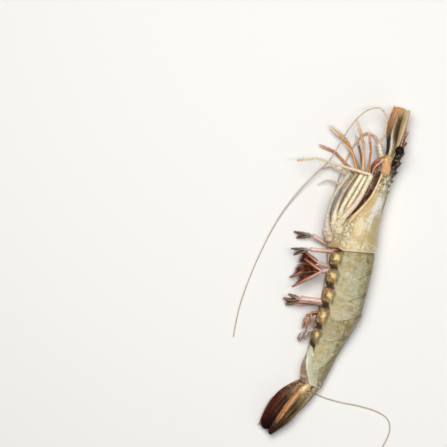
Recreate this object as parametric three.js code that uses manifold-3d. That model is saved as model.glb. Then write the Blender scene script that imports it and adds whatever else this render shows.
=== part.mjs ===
// A whole raw tiger prawn, head and shell on, lying on its right side.
// Millimetres. +Y runs from the tail to the tip of the rostrum, +X is towards the back,
// +Z is the prawn's left side, which lies uppermost. The floor is z = 0.
import * as THREE from 'three';
import { mergeVertices } from 'three/addons/utils/BufferGeometryUtils.js';
import Module from 'manifold-3d';

const wasm = await Module();
wasm.setup();

// ---------------------------------------------------------------- driving dimensions

const GAP = 0.3;                   // clearance between neighbouring pieces of shell
const MIDDLE = 11.1;               // height of the carapace's plane of symmetry
const CARAPACE_FRONT_Y = 147.5;    // front edge of the carapace, beside the eyes
const ROSTRUM_TIP_Y = 181.2;

// Stations across the body, rear to front. back is a point on the back and edge is the
// lower edge of the shell, both [x, y]; halfWidth is the half breadth of the body there,
// and middle is the height of the plane of symmetry above the floor.
const CARAPACE = [
  { back: [13.5, 107.4], edge: [-4.8, 101.0], halfWidth: 10.9, middle: MIDDLE },
  { back: [12.1, 113.0], edge: [-5.8, 108.2], halfWidth: 11.6, middle: MIDDLE },
  { back: [10.1, 119.4], edge: [-6.0, 117.4], halfWidth: 11.4, middle: MIDDLE },
  { back: [8.6, 126.0], edge: [-3.4, 124.4], halfWidth: 10.1, middle: MIDDLE },
  { back: [7.3, 133.2], edge: [-0.8, 132.2], halfWidth: 8.0, middle: MIDDLE },
  { back: [6.3, 140.4], edge: [-0.1, 140.0], halfWidth: 6.3, middle: MIDDLE },
  { back: [5.6, CARAPACE_FRONT_Y], edge: [-0.3, CARAPACE_FRONT_Y], halfWidth: 4.5, middle: MIDDLE },
];
const THORAX_DEPTH = [6.4, 7.8, 6.6, 4.8, 3.4, 2.8, 2.4];   // below the carapace's edge
const THORAX_BREADTH = 0.36;                                // share of the carapace's width

// Joints of the abdomen, from the tail end of segment 6 to the front of segment 1.
const ABDOMEN = [
  { back: [15.2, 31.6], edge: [4.4, 31.0], halfWidth: 4.1, middle: 5.6 },
  { back: [16.4, 50.8], edge: [0.6, 51.2], halfWidth: 6.6, middle: 6.3 },
  { back: [18.0, 61.0], edge: [-0.8, 61.0], halfWidth: 8.0, middle: 7.6 },
  { back: [19.6, 74.4], edge: [-2.6, 72.0], halfWidth: 9.3, middle: 8.9 },
  { back: [18.0, 85.8], edge: [-4.6, 82.0], halfWidth: 10.1, middle: 9.7 },
  { back: [15.8, 98.0], edge: [-6.6, 91.0], halfWidth: 10.6, middle: 10.2 },
  { back: [13.4, 106.8], edge: [-8.2, 99.2], halfWidth: 10.6, middle: 10.8 },
];
const SEGMENTS = 6;
const RIM_FLARE = 0.045;           // how far a segment's rear rim stands over the next one
const PLEURON_LOBE = 0.13;         // rise of the pleuron's edge at its corners, share of depth
const BELLY_CHANNEL = 0.24;        // depth of the belly between the pleura, share of depth
const TAIL_CHANNEL = 0.05;         // the same on segment 6, which is nearly round

const ROSTRUM_THICKNESS = 2.2;
const ROSTRUM_NARROWING = 0.72;    // share of its thickness that it loses towards its tip
const TOOTH_HEIGHT = 1.3;
const TOP_TEETH = 7;
const LOWER_TEETH = 3;

const EYE_RADIUS = 2.4;
const EYE_STRETCH = 1.12;          // the eye is a little longer than it is wide
const ANTENNA_RADIUS = 0.5;
const ANTENNA_TAPER = 0.55;        // share of its radius that a feeler loses towards its tip

const FLEXIBLE_SIDES = 6;          // faces round a limb or a feeler
const WELD = 1e-4;                 // points this close are one

// ---------------------------------------------------------------- shells and tubes

const vector = ([x, y, z = 0]) => new THREE.Vector3(x, y, z);

function outward(geometry) {
  const place = geometry.attributes.position;
  const index = geometry.index.array;
  const corners = [new THREE.Vector3(), new THREE.Vector3(), new THREE.Vector3()];
  let volume = 0;
  for (let f = 0; f < index.length; f += 3) {
    corners.forEach((corner, k) => corner.fromBufferAttribute(place, index[f + k]));
    volume += corners[0].dot(corners[1].clone().cross(corners[2]));
  }
  if (volume < 0) {
    for (let f = 0; f < index.length; f += 3) {
      [index[f], index[f + 1]] = [index[f + 1], index[f]];
    }
  }
  return geometry;
}

// Triangles that close a flat ring of points, which may be hollowed on one side.
function capOf(ring) {
  const normal = new THREE.Vector3();
  ring.forEach((p, i) => normal.add(p.clone().cross(ring[(i + 1) % ring.length])));
  normal.normalize();
  const across = new THREE.Vector3(1, 0, 0).cross(normal);
  if (across.length() < 0.1) across.set(0, 1, 0).cross(normal);
  across.normalize();
  const up = normal.clone().cross(across);
  return THREE.ShapeUtils.triangulateShape(
    ring.map((p) => new THREE.Vector2(p.dot(across), p.dot(up))), []);
}

// A closed body through a row of rings, all with the same number of points.
function loft(rings) {
  const sides = rings[0].length;
  const faces = [];
  for (let r = 0; r + 1 < rings.length; r += 1) {
    for (let i = 0; i < sides; i += 1) {
      const a = r * sides + i;
      const b = r * sides + ((i + 1) % sides);
      faces.push(a, b, b + sides, a, b + sides, a + sides);
    }
  }
  const last = (rings.length - 1) * sides;
  capOf(rings[0]).forEach(([a, b, c]) => faces.push(a, c, b));
  capOf(rings[rings.length - 1]).forEach(([a, b, c]) => faces.push(last + a, last + b, last + c));
  const geometry = new THREE.BufferGeometry();
  const places = rings.flat().flatMap((p) => [p.x, p.y, p.z]);
  geometry.setAttribute('position', new THREE.Float32BufferAttribute(places, 3));
  geometry.setIndex(faces);
  return outward(geometry);
}

function asManifold(geometry) {
  const bare = new THREE.BufferGeometry();
  bare.setAttribute('position', geometry.attributes.position);
  bare.setIndex(geometry.index);
  const merged = mergeVertices(bare, WELD);
  return new wasm.Manifold(new wasm.Mesh({
    numProp: 3,
    vertProperties: new Float32Array(merged.attributes.position.array),
    triVerts: new Uint32Array(merged.index.array),
  }));
}

function join(geometries) {
  const mesh = geometries.map(asManifold).reduce((whole, more) => whole.add(more)).getMesh();
  const geometry = new THREE.BufferGeometry();
  geometry.setAttribute('position', new THREE.BufferAttribute(mesh.vertProperties, 3));
  geometry.setIndex(new THREE.BufferAttribute(mesh.triVerts, 1));
  return geometry;
}

// A round tube through the given points, with a radius at each.
function tube(points, radii, sides) {
  const axis = points.map(vector);
  const side = new THREE.Vector3(0, 0, 1);
  const rings = axis.map((centre, k) => {
    const before = axis[Math.max(k - 1, 0)];
    const after = axis[Math.min(k + 1, axis.length - 1)];
    const along = after.clone().sub(before).normalize();
    side.addScaledVector(along, -side.dot(along)).normalize();
    const up = along.clone().cross(side);
    return Array.from({ length: sides }, (_, i) => {
      const turn = (2 * Math.PI * i) / sides;
      return centre.clone()
        .addScaledVector(side, radii[k] * Math.cos(turn))
        .addScaledVector(up, radii[k] * Math.sin(turn));
    });
  });
  return loft(rings);
}

// A jointed limb: each article swells a little and narrows again at its joints. Each pair
// gives a share of the article's length and its radius there, as a share of the limb's.
const ARTICLE_ROOT = [0.04, 0.78];
const ARTICLE_SWELLING = [[0.2, 1], [0.8, 0.94]];
const ARTICLE_END = [0.96, 0.74];

function limb(joints, radii, sides = FLEXIBLE_SIDES) {
  const points = [];
  const thickness = [];
  for (let k = 0; k + 1 < joints.length; k += 1) {
    const start = vector(joints[k]);
    const end = vector(joints[k + 1]);
    const root = [k === 0 ? 0 : ARTICLE_ROOT[0], ARTICLE_ROOT[1]];
    const last = [k + 2 === joints.length ? 1 : ARTICLE_END[0], ARTICLE_END[1]];
    [root, ...ARTICLE_SWELLING, last].forEach(([share, swell]) => {
      points.push(start.clone().lerp(end, share).toArray());
      const radius = THREE.MathUtils.lerp(radii[k], radii[k + 1], share);
      thickness.push(radius * swell);
    });
  }
  return tube(points, thickness, sides);
}

// A thin leaf along a curve. widths are its breadths from root to tip, tilt turns it
// about its own length, and rib is the height of the ridge along its middle.
const leafSection = (ridge) => [
  [-1, 0], [-0.6, 0.8], [-0.15, 1], [0, 1 + ridge], [0.15, 1], [0.6, 0.8],
  [1, 0], [0.6, -0.8], [0, -1], [-0.6, -0.8],
];

function leaf(line, widths, { thickness, tilt = 0, rib = 0, steps = 9 }) {
  const curve = new THREE.CatmullRomCurve3(line.map(vector));
  const breadth = new THREE.CatmullRomCurve3(widths.map((w, i) => new THREE.Vector3(w, i, 0)));
  const rings = [];
  for (let k = 0; k <= steps; k += 1) {
    const share = k / steps;
    const centre = curve.getPoint(share);
    const along = curve.getTangent(share);
    const flat = new THREE.Vector3(0, 0, 1).cross(along).normalize();
    const across = flat.applyAxisAngle(along, tilt);
    const up = along.clone().cross(across);
    const half = breadth.getPoint(share).x / 2;
    const thin = thickness / 2;
    rings.push(leafSection(rib / thin).map(([a, b]) => centre.clone()
      .addScaledVector(across, a * half)
      .addScaledVector(up, b * thin)));
  }
  return loft(rings);
}

// ---------------------------------------------------------------- body sections

// The station at a fractional place in a row of stations.
function stationAt(stations, place) {
  const share = place / (stations.length - 1);
  const through = (pick) => new THREE.CatmullRomCurve3(stations.map(pick)).getPoint(share);
  const back = through((s) => vector(s.back));
  const edge = through((s) => vector(s.edge));
  const size = through((s) => new THREE.Vector3(s.halfWidth, s.middle, 0));
  return { back, edge, halfWidth: size.x, middle: size.y };
}

// Puts [height, side] pairs, shares of the depth and of the half width, on a station.
// Where the body would sink below the floor, it is flattened on it.
function ringAt(station, outline, grow = 1) {
  return outline.map(([height, side]) => {
    const lift = 0.5 + (height - 0.5) * grow;
    const point = station.edge.clone().lerp(station.back, lift);
    point.z = Math.max(station.middle + side * station.halfWidth * grow, 0);
    return point;
  });
}

const mirrored = (half) => {
  const inner = half.slice(1, -1).reverse();
  return [...half, ...inner.map(([height, side]) => [height, -side])];
};

// The upper half of a section, from the crest to its widest place at the height waist.
// A power under 1 fills the curve out and one over 1 draws it in.
const QUARTER_STEP = 15;           // degrees between the points of a section

function upperHalf(waist, heightPower, sidePower) {
  const half = [[1, 0]];
  for (let turn = QUARTER_STEP; turn <= 90; turn += QUARTER_STEP) {
    const angle = THREE.MathUtils.degToRad(turn);
    const height = waist + (1 - waist) * Math.cos(angle) ** heightPower;
    half.push([height, Math.sin(angle) ** sidePower]);
  }
  return half;
}

// Carapace: a narrow crest, full sides, and a lower edge that turns in under the body.
const CARAPACE_WAIST = 0.42;
const CARAPACE_LOWER_HALF = [[0.26, 0.98], [0.11, 0.9], [0.02, 0.76], [0, 0.6], [0, 0]];

const carapaceOutline = () => mirrored([...upperHalf(CARAPACE_WAIST, 1, 1.1), ...CARAPACE_LOWER_HALF]);

// Abdomen: a round back, sides that hang down as pleura, and the belly between them.
const ABDOMEN_WAIST = 0.5;

function abdomenOutline(lobe, channel) {
  return mirrored([
    ...upperHalf(ABDOMEN_WAIST, 0.9, 0.85),
    [0.32, 0.97], [0.16 + lobe / 2, 0.89], [0.04 + lobe, 0.8], [lobe, 0.72],
    [0.02 + lobe, 0.63], [channel, 0.55], [channel + 0.02, 0],
  ]);
}

const CARAPACE_STEPS = 15;

function carapaceShell() {
  const outline = carapaceOutline();
  const rings = [];
  for (let k = 0; k <= CARAPACE_STEPS; k += 1) {
    const place = (k / CARAPACE_STEPS) * (CARAPACE.length - 1);
    rings.push(ringAt(stationAt(CARAPACE, place), outline));
  }
  return loft(rings);
}

// Rostrum: a flat toothed blade that grows out of the crest. Seven teeth stand on top,
// three of them behind the eyes, and three hang below.
const ROSTRUM_TOP = [
  [7.0, 133], [6.2, 141], [6.6, 149], [6.2, 157], [4.7, 165], [2.5, 173], [0.3, ROSTRUM_TIP_Y],
];
const ROSTRUM_UNDER = [
  [0, ROSTRUM_TIP_Y - 0.2], [0.6, 172], [1.7, 163], [2.6, 155], [2.2, 146], [3.4, 133],
];
const TOP_TEETH_SPAN = [0.06, 0.8];     // shares of the top edge's length
const LOWER_TEETH_SPAN = [0.1, 0.42];   // shares of the lower edge's length
const SMOOTH_LOWER_EDGE = [0.5, 0.65, 0.8, 1];
const TOOTH_PEAK = 0.62;                // where a tooth peaks and ends, shares of its pitch
const TOOTH_END = 0.75;

function rostrum() {
  const top = new THREE.CatmullRomCurve3(ROSTRUM_TOP.map(vector));
  const under = new THREE.CatmullRomCurve3(ROSTRUM_UNDER.map(vector));
  const side = new THREE.Shape();
  const toothed = (curve, [from, to], teeth, lean) => {
    const pitch = (to - from) / teeth;
    for (let t = 0; t < teeth; t += 1) {
      const start = curve.getPoint(from + pitch * t);
      const peak = curve.getPoint(from + pitch * (t + TOOTH_PEAK));
      const end = curve.getPoint(from + pitch * (t + TOOTH_END));
      side.lineTo(start.x, start.y);
      side.lineTo(peak.x + lean, peak.y + Math.abs(lean) / 2);
      side.lineTo(end.x, end.y);
    }
  };
  side.moveTo(top.getPoint(0).x, top.getPoint(0).y);
  toothed(top, TOP_TEETH_SPAN, TOP_TEETH, TOOTH_HEIGHT);
  side.lineTo(top.getPoint(1).x, top.getPoint(1).y);
  toothed(under, LOWER_TEETH_SPAN, LOWER_TEETH, -TOOTH_HEIGHT / 2);
  SMOOTH_LOWER_EDGE.forEach((share) => {
    side.lineTo(under.getPoint(share).x, under.getPoint(share).y);
  });
  const blade = new THREE.ExtrudeGeometry(side, { depth: ROSTRUM_THICKNESS, bevelEnabled: false });
  blade.deleteAttribute('normal');
  blade.deleteAttribute('uv');
  const place = blade.attributes.position;
  for (let i = 0; i < place.count; i += 1) {
    const reach = THREE.MathUtils.smoothstep(place.getY(i), CARAPACE_FRONT_Y, ROSTRUM_TIP_Y);
    const offset = (place.getZ(i) - ROSTRUM_THICKNESS / 2) * (1 - ROSTRUM_NARROWING * reach);
    place.setZ(i, MIDDLE + offset);
  }
  return mergeVertices(blade, WELD);
}

// Underside of the thorax, between the two lower edges of the carapace. Its section is a
// row of [depth, side] pairs, shares of its depth and of its half breadth.
const THORAX_STEPS = 10;
const THORAX_SECTION = [
  [0, 1], [0.3, 1.02], [0.65, 0.8], [0.92, 0.45], [1, 0],
  [0.92, -0.45], [0.65, -0.8], [0.3, -1.02], [0, -1],
];

function thorax() {
  const rings = [];
  for (let k = 0; k <= THORAX_STEPS; k += 1) {
    const place = (k / THORAX_STEPS) * (CARAPACE.length - 1);
    const { back, edge, halfWidth, middle } = stationAt(CARAPACE, place);
    const down = edge.clone().sub(back).normalize();
    const before = THORAX_DEPTH[Math.floor(place)];
    const after = THORAX_DEPTH[Math.min(Math.floor(place) + 1, THORAX_DEPTH.length - 1)];
    const depth = THREE.MathUtils.lerp(before, after, place % 1);
    const breadth = halfWidth * THORAX_BREADTH;
    rings.push(THORAX_SECTION.map(([low, side]) => {
      const point = edge.clone().addScaledVector(down, GAP + low * depth);
      point.z = middle + side * breadth;
      return point;
    }));
  }
  return loft(rings);
}

// One segment of the abdomen. number counts from 1 behind the carapace to 6 at the tail.
const SEGMENT_RINGS = [0, 0.1, 0.3, 0.55, 0.8, 1];

function segment(number) {
  const rear = SEGMENTS - number;
  const last = number === SEGMENTS;
  const length = vector(ABDOMEN[rear].back).distanceTo(vector(ABDOMEN[rear + 1].back));
  const inset = GAP / 2 / length;
  const rings = SEGMENT_RINGS.map((share) => {
    const corner = (2 * share - 1) ** 2;
    const lobe = last ? 0 : PLEURON_LOBE * corner;
    const channel = last ? TAIL_CHANNEL : BELLY_CHANNEL;
    const station = stationAt(ABDOMEN, rear + inset + share * (1 - 2 * inset));
    const grow = 1 - RIM_FLARE * THREE.MathUtils.smoothstep(share, 0, 1);
    return ringAt(station, abdomenOutline(lobe, channel), grow);
  });
  return loft(rings);
}

// ---------------------------------------------------------------- tail fan

// The telson stands on its edge, for the prawn lies on its side. The blades lie nearly
// flat, the left ones over it and the right ones, turned over, under it.
const TELSON = {
  line: [[12.7, 30.8, 5.6], [11.0, 22.2, 5.5], [7.2, 11.6, 4.9], [1.8, 1.2, 3.6]],
  widths: [6.2, 5.2, 3.4, 0.6],
  thickness: 2.6,
  groove: -0.6,
};
const UROPOD_BASE = { line: [[8.6, 30.2], [6.3, 24.6]], offsets: [2.9, 3.4], radii: [1.7, 1.5] };
const EXOPOD = {
  line: [[4.2, 29.9], [0.4, 20.4], [-1.8, 10.6], [-3.0, 1.4]],
  widths: [4.4, 8.4, 8.8, 5.6],
  heights: { left: [6.2, 7.4, 6.8, 5.0], right: [4.9, 3.7, 3.2, 2.6] },
};
const ENDOPOD = {
  line: [[6.4, 23.6], [5.9, 18.4], [4.1, 9.8], [0.6, -0.4]],
  widths: [4.0, 7.0, 6.6, 1.4],
  heights: { left: [8.7, 9.0, 8.3, 6.4], right: [1.9, 1.7, 1.4, 1.0] },
};
const BLADE_THICKNESS = 0.9;
const BLADE_RIB = 0.3;
const BLADE_TILT = { left: 0.1, right: Math.PI - 0.04 };

function telson() {
  const { line, widths, thickness, groove } = TELSON;
  return leaf(line, widths, { thickness, tilt: Math.PI / 2, rib: groove });
}

// side is 1 for the left uropod, on top, and -1 for the right one, next to the floor.
function uropodBase(side) {
  const { line, offsets, radii } = UROPOD_BASE;
  const { middle } = ABDOMEN[0];
  return limb(line.map(([x, y], i) => [x, y, middle + side * offsets[i]]), radii);
}

function uropodBlade({ line, widths, heights }, name) {
  const path = line.map(([x, y], i) => [x, y, heights[name][i]]);
  return leaf(path, widths, { thickness: BLADE_THICKNESS, tilt: BLADE_TILT[name], rib: BLADE_RIB });
}

// ---------------------------------------------------------------- head

const acrossMiddle = ([x, y, z], side) => [x, y, MIDDLE + side * z];

// A third value here is a distance from the plane of symmetry, not a height.
const EYE_STALK = [[4.4, 148.4, 2.2], [4.3, 152.0, 4.4], [4.0, 157.6, 7.0]];
const EYE_STALK_RADII = [1.0, 1.1, 1.7];
const EYE_CENTRE = [3.8, 159.6, 7.6];
const ANTENNULE = [[0.6, 148.6, 1.9], [-0.8, 158.5, 2.0], [-2.0, 165.5, 2.0], [-2.8, 170.0, 2.0]];
const ANTENNULE_RADII = [1.5, 1.3, 1.1, 0.9];
const ANTENNULE_WHIPS = [
  [[-2.6, 169.0, 2.0], [-3.6, 174.0, 2.8], [-5.0, 180.0, 4.0]],
  [[-2.7, 169.0, 2.0], [-4.4, 173.0, 1.8], [-6.6, 178.0, 2.2]],
];
const WHIP_RADII = [0.5, 0.4, 0.2];
const SCALE_LINE = [[1.0, 150.0, 4.3], [0.0, 159.5, 4.5], [-2.4, 170.5, 4.8], [-3.4, 180.4, 4.8]];
const SCALE_WIDTHS = [2.6, 5.6, 9.0, 8.2];
const SCALE_TILT = 0.1;

function eye(side) {
  const stalk = tube(EYE_STALK.map((p) => acrossMiddle(p, side)), EYE_STALK_RADII, 10);
  const globe = new THREE.SphereGeometry(EYE_RADIUS, 14, 10);
  globe.scale(1, EYE_STRETCH, 1);
  globe.translate(...acrossMiddle(EYE_CENTRE, side));
  return join([stalk, globe]);
}

function antennule(side) {
  const at = (points) => points.map((p) => acrossMiddle(p, side));
  const whips = ANTENNULE_WHIPS.map((whip) => tube(at(whip), WHIP_RADII, FLEXIBLE_SIDES));
  return join([limb(at(ANTENNULE), ANTENNULE_RADII), ...whips]);
}

function antennalScale(side) {
  return leaf(SCALE_LINE.map((p) => acrossMiddle(p, side)), SCALE_WIDTHS, {
    thickness: BLADE_THICKNESS,
    tilt: SCALE_TILT * side,
    rib: BLADE_RIB * side,
  });
}

// The long feelers. Each starts from a stout barrel at the side of the head.
const LEFT_ANTENNA = [
  [-7.3, 158.2, 16.1], [-6.7, 163.2, 17.0], [-7.6, 168.9, 17.6], [-10.0, 173.6, 17.2],
  [-14.5, 175.6, 15.8], [-20.0, 171.6, 13.4], [-23.6, 163.0, 11.0], [-25.4, 152.0, 8.6],
  [-27.0, 141.0, 6.6], [-30.4, 132.6, 5.0], [-34.4, 122.0, 3.2], [-38.0, 109.0, 1.6],
  [-40.0, 94.0, 0.7], [-40.6, 74.0, 0.6], [-39.4, 54.3, 0.6], [-36.0, 38.0, 0.6],
];
const RIGHT_ANTENNA = [
  [-7.3, 158.2, 6.0], [-10.6, 162.0, 4.0], [-15.6, 161.0, 1.8], [-18.4, 153.0, 0.6],
  [-19.0, 140.0, 0.6], [-17.4, 124.0, 0.6], [-12.6, 106.0, 0.6], [-6.4, 90.0, 0.6],
  [-2.4, 74.0, 0.6], [0.0, 58.0, 0.6], [2.6, 44.0, 0.6], [7.2, 33.0, 0.6],
  [12.7, 28.6, 0.6], [18.8, 27.9, 0.6], [27.9, 29.0, 0.6], [38.2, 31.2, 0.6],
  [47.9, 32.1, 0.6], [54.3, 30.4, 0.6], [57.3, 24.9, 0.6], [57.0, 16.4, 0.6], [53.6, 6.0, 0.6],
];

const BARREL = [[-1.9, 150.2, 4.9], [-4.0, 154.4, 5.0], [-7.3, 158.6, 5.0]];
const BARREL_RADII = [1.5, 1.8, 1.6];
const BARREL_SIDES = 8;
const STEPS_PER_POINT = 2.5;

function antenna(route, side) {
  const barrel = limb(BARREL.map((p) => acrossMiddle(p, side)), BARREL_RADII, BARREL_SIDES);
  const steps = Math.round(route.length * STEPS_PER_POINT);
  const points = new THREE.CatmullRomCurve3(route.map(vector)).getPoints(steps);
  const radii = points.map((_, i) => ANTENNA_RADIUS * (1 - ANTENNA_TAPER * (i / steps)));
  return join([barrel, tube(points.map((p) => p.toArray()), radii, FLEXIBLE_SIDES)]);
}

// ---------------------------------------------------------------- legs and swimmerets

// Joints of each leg, from the hip outwards, with z as the height above the floor.
// Legs 1 to 3 end in a small claw, 4 and 5 in a point.
const LEFT_LEGS = [
  [[-8.2, 120.6, 15.7], [-8.7, 123.6, 17.0], [-7.9, 129.8, 17.3], [-6.6, 141.8, 17.0],
    [-9.6, 153.6, 18.0], [-14.8, 163.1, 17.6]],
  [[-10.0, 116.4, 16.0], [-11.4, 120.6, 17.4], [-10.6, 129.6, 17.6], [-8.9, 141.4, 17.2],
    [-14.0, 154.8, 19.4], [-22.7, 165.7, 17.0]],
  [[-9.9, 111.8, 17.6], [-8.6, 117.6, 20.4], [-5.6, 127.8, 20.2], [-4.5, 142.4, 20.6],
    [-34.1, 139.0, 19.4], [-42.3, 134.1, 16.4]],
  [[-11.8, 111.8, 15.9], [-13.9, 118.6, 16.8], [-13.9, 129.4, 17.0], [-11.4, 140.4, 16.6],
    [-17.6, 148.8, 16.2], [-23.5, 151.8, 14.2]],
  [[-13.6, 107.0, 14.4], [-16.8, 115.2, 13.6], [-17.6, 125.4, 14.8], [-15.0, 138.4, 15.8],
    [-20.8, 141.2, 14.2], [-24.4, 138.2, 11.4]],
];
const RIGHT_LEGS = [
  [[-8.2, 120.6, 6.5], [-8.7, 123.6, 5.6], [-8.4, 130.0, 5.4], [-8.2, 141.2, 5.8],
    [-13.4, 150.2, 7.6], [-19.9, 158.6, 8.4]],
  [[-10.0, 116.4, 6.2], [-11.4, 120.8, 4.8], [-11.2, 130.0, 4.6], [-11.4, 143.0, 4.8],
    [-22.6, 153.6, 6.4], [-33.6, 157.5, 5.8]],
  [[-9.9, 111.8, 4.4], [-9.2, 117.8, 2.4], [-8.6, 128.0, 2.0], [-10.8, 139.4, 2.0],
    [-26.4, 146.4, 2.6], [-35.0, 146.4, 2.0]],
  [[-11.8, 111.8, 6.3], [-14.1, 118.6, 5.0], [-13.9, 129.0, 5.0], [-13.8, 137.4, 5.0],
    [-24.6, 138.6, 4.4], [-29.6, 135.2, 1.4]],
  [[-13.6, 107.0, 7.8], [-16.6, 115.2, 8.6], [-17.4, 124.4, 8.4], [-17.0, 132.0, 7.6],
    [-23.4, 131.6, 4.8], [-27.6, 127.4, 1.4]],
];
const LEG_RADII = [1.75, 1.35, 1.15, 1.0, 0.7, 0.5];
const CLAWED_LEGS = 3;
const POINT_RADIUS = 0.25;
const PALM_RADIUS = 0.95;
const CLAW_SHARE = 0.3;            // length of the fingers, share of the last article
const FINGER_RADII = [0.5, 0.4, 0.12];
// Along a finger: a share of its length from the palm, and its distance from the claw's middle.
const FINGER_LINE = [[-0.3, 0.35], [0.45, 0.55], [1, 0.35]];

function leg(joints, clawed) {
  const radii = LEG_RADII.slice(0, -1);
  if (!clawed) return limb(joints, [...radii, POINT_RADIUS]);
  const upper = joints.slice(0, -1);
  const wrist = vector(upper[upper.length - 1]);
  const tip = vector(joints[joints.length - 1]);
  const palm = tip.clone().lerp(wrist, CLAW_SHARE);
  const finger = tip.clone().sub(palm);
  const aside = finger.clone().cross(new THREE.Vector3(0, 0, 1)).normalize();
  const fingers = [1, -1].map((way) => {
    const line = FINGER_LINE.map(([share, spread]) => palm.clone()
      .addScaledVector(finger, share)
      .addScaledVector(aside, way * spread)
      .toArray());
    return tube(line, FINGER_RADII, FLEXIBLE_SIDES);
  });
  const arm = limb([...upper, palm.toArray()], [...radii, PALM_RADIUS]);
  return join([arm, ...fingers]);
}

// The last mouth limb: a stout inner branch and a slender outer one that curls forward.
const MAXILLIPED = [[-4.6, 129.0, 4.0], [-2.9, 134.5, 4.4], [-3.0, 142.4, 4.6], [-3.4, 148.4, 4.4]];
const MAXILLIPED_RADII = [1.4, 1.4, 1.2, 0.6];
const MAXILLIPED_BRANCH = [[-3.0, 142.0, 5.0], [-5.4, 146.4, 7.0], [-4.6, 150.6, 7.8], [-1.6, 154.6, 7.4]];
const MAXILLIPED_BRANCH_RADII = [0.6, 0.8, 0.9, 0.35];

function maxilliped(side) {
  const at = (points) => points.map((p) => acrossMiddle(p, side));
  const outer = tube(at(MAXILLIPED_BRANCH), MAXILLIPED_BRANCH_RADII, FLEXIBLE_SIDES);
  return join([limb(at(MAXILLIPED), MAXILLIPED_RADII), outer]);
}

// Swimmerets: a stout stem hangs from the belly and carries two narrow fringed paddles.
const LEFT_SWIMMERETS = [
  { root: [-6.8, 98.9, 14.8], knee: [-18.1, 95.0, 14.6],
    outer: [-27.0, 91.6, 11.6], inner: [-24.6, 89.2, 9.8] },
  { root: [-5.4, 89.8, 13.4], knee: [-8.0, 87.2, 14.2],
    outer: [-18.8, 73.8, 10.8], inner: [-18.9, 89.6, 9.8] },
  { root: [-3.4, 72.4, 12.4], knee: [-12.6, 69.8, 12.2],
    outer: [-18.9, 69.6, 10.2], inner: [-16.6, 67.0, 9.0] },
  { root: [-2.8, 67.4, 9.8], knee: [-4.4, 65.6, 11.2],
    outer: [-2.2, 59.6, 10.2], inner: [-4.6, 61.4, 9.6] },
  { root: [-1.8, 57.6, 8.6], knee: [-2.4, 56.0, 9.0],
    outer: [-1.6, 51.6, 8.2], inner: [-3.0, 52.4, 7.2] },
];
const SWIMMERET_RADII = { root: 1.5, knee: 1.3, outer: [1.0, 0.35], inner: [0.8, 0.3] };
// The right ones hang below the left ones, swung a little from under them.
const RIGHT_SWING = [[-1.6, 7.2], [-2.4, 3.2], [-1.2, -2.4], [-1.8, -2.6], [-2.0, -1.6]];
const PADDLE_SWING = 1.2;          // how much further the paddles swing than the stem
const LOWEST_SWIMMERET = 2.2;      // height of the lowest stem's middle over the floor

function swimmeret({ root, knee, outer, inner }) {
  return join([
    limb([root, knee], [SWIMMERET_RADII.root, SWIMMERET_RADII.knee]),
    limb([knee, outer], SWIMMERET_RADII.outer),
    limb([knee, inner], SWIMMERET_RADII.inner),
  ]);
}

function rightOf({ root, knee, outer, inner }, number) {
  const { middle } = stationAt(ABDOMEN, SEGMENTS - 0.5 - number);
  const drop = 2 * (root[2] - middle);
  const [sideways, along] = RIGHT_SWING[number];
  const swung = ([x, y, z], reach) => [
    x + sideways * reach,
    y + along * reach,
    Math.max(z - drop, LOWEST_SWIMMERET),
  ];
  return {
    root: swung(root, 0),
    knee: swung(knee, 1),
    outer: swung(outer, PADDLE_SWING),
    inner: swung(inner, PADDLE_SWING),
  };
}

// ---------------------------------------------------------------- the whole prawn

const COLOURS = {
  carapace: 0xb7ab7c,
  thorax: 0xb9a98a,
  abdomen: 0x98977a,
  telson: 0x6b5a33,
  uropodBase: 0xc99a55,
  exopod: 0x3d1d18,
  endopod: 0x6a4a2c,
  eye: 0x121012,
  antennule: 0xb98a4d,
  scale: 0x8d7c55,
  antenna: 0xc7a883,
  maxilliped: 0x8a6f45,
  leg: 0xd8c3a0,
  swimmeret: 0xb4665a,
};
const SHELL_ROUGHNESS = 0.35;

const prawn = new THREE.Group();

function add(name, geometry, color) {
  const material = new THREE.MeshStandardMaterial({ color, roughness: SHELL_ROUGHNESS, metalness: 0 });
  const piece = new THREE.Mesh(geometry, material);
  piece.name = name;
  prawn.add(piece);
}

add('carapace', join([carapaceShell(), rostrum()]), COLOURS.carapace);
add('thorax', thorax(), COLOURS.thorax);
for (let number = 1; number <= SEGMENTS; number += 1) {
  add(`abdomen_${number}`, segment(number), COLOURS.abdomen);
}
add('telson', telson(), COLOURS.telson);
for (const [name, side] of [['left', 1], ['right', -1]]) {
  const left = side > 0;
  add(`uropod_base_${name}`, uropodBase(side), COLOURS.uropodBase);
  add(`exopod_${name}`, uropodBlade(EXOPOD, name), COLOURS.exopod);
  add(`endopod_${name}`, uropodBlade(ENDOPOD, name), COLOURS.endopod);
  add(`eye_${name}`, eye(side), COLOURS.eye);
  add(`antennule_${name}`, antennule(side), COLOURS.antennule);
  add(`antennal_scale_${name}`, antennalScale(side), COLOURS.scale);
  add(`antenna_${name}`, antenna(left ? LEFT_ANTENNA : RIGHT_ANTENNA, side), COLOURS.antenna);
  add(`maxilliped_${name}`, maxilliped(side), COLOURS.maxilliped);
  (left ? LEFT_LEGS : RIGHT_LEGS).forEach((joints, i) => {
    add(`leg_${name}_${i + 1}`, leg(joints, i < CLAWED_LEGS), COLOURS.leg);
  });
  LEFT_SWIMMERETS.forEach((row, i) => {
    add(`swimmeret_${name}_${i + 1}`, swimmeret(left ? row : rightOf(row, i)), COLOURS.swimmeret);
  });
}

// The origin goes to the middle of the prawn's bounding box, on the floor.
const box = new THREE.Box3().setFromObject(prawn);
const centre = box.getCenter(new THREE.Vector3());
prawn.position.set(-centre.x, -centre.y, 0);

export default prawn;
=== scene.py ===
# A whole raw tiger prawn, lying on its right side on a pale floor.
import math
import random

import bmesh
import bpy
from mathutils import Matrix, Vector, noise


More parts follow.
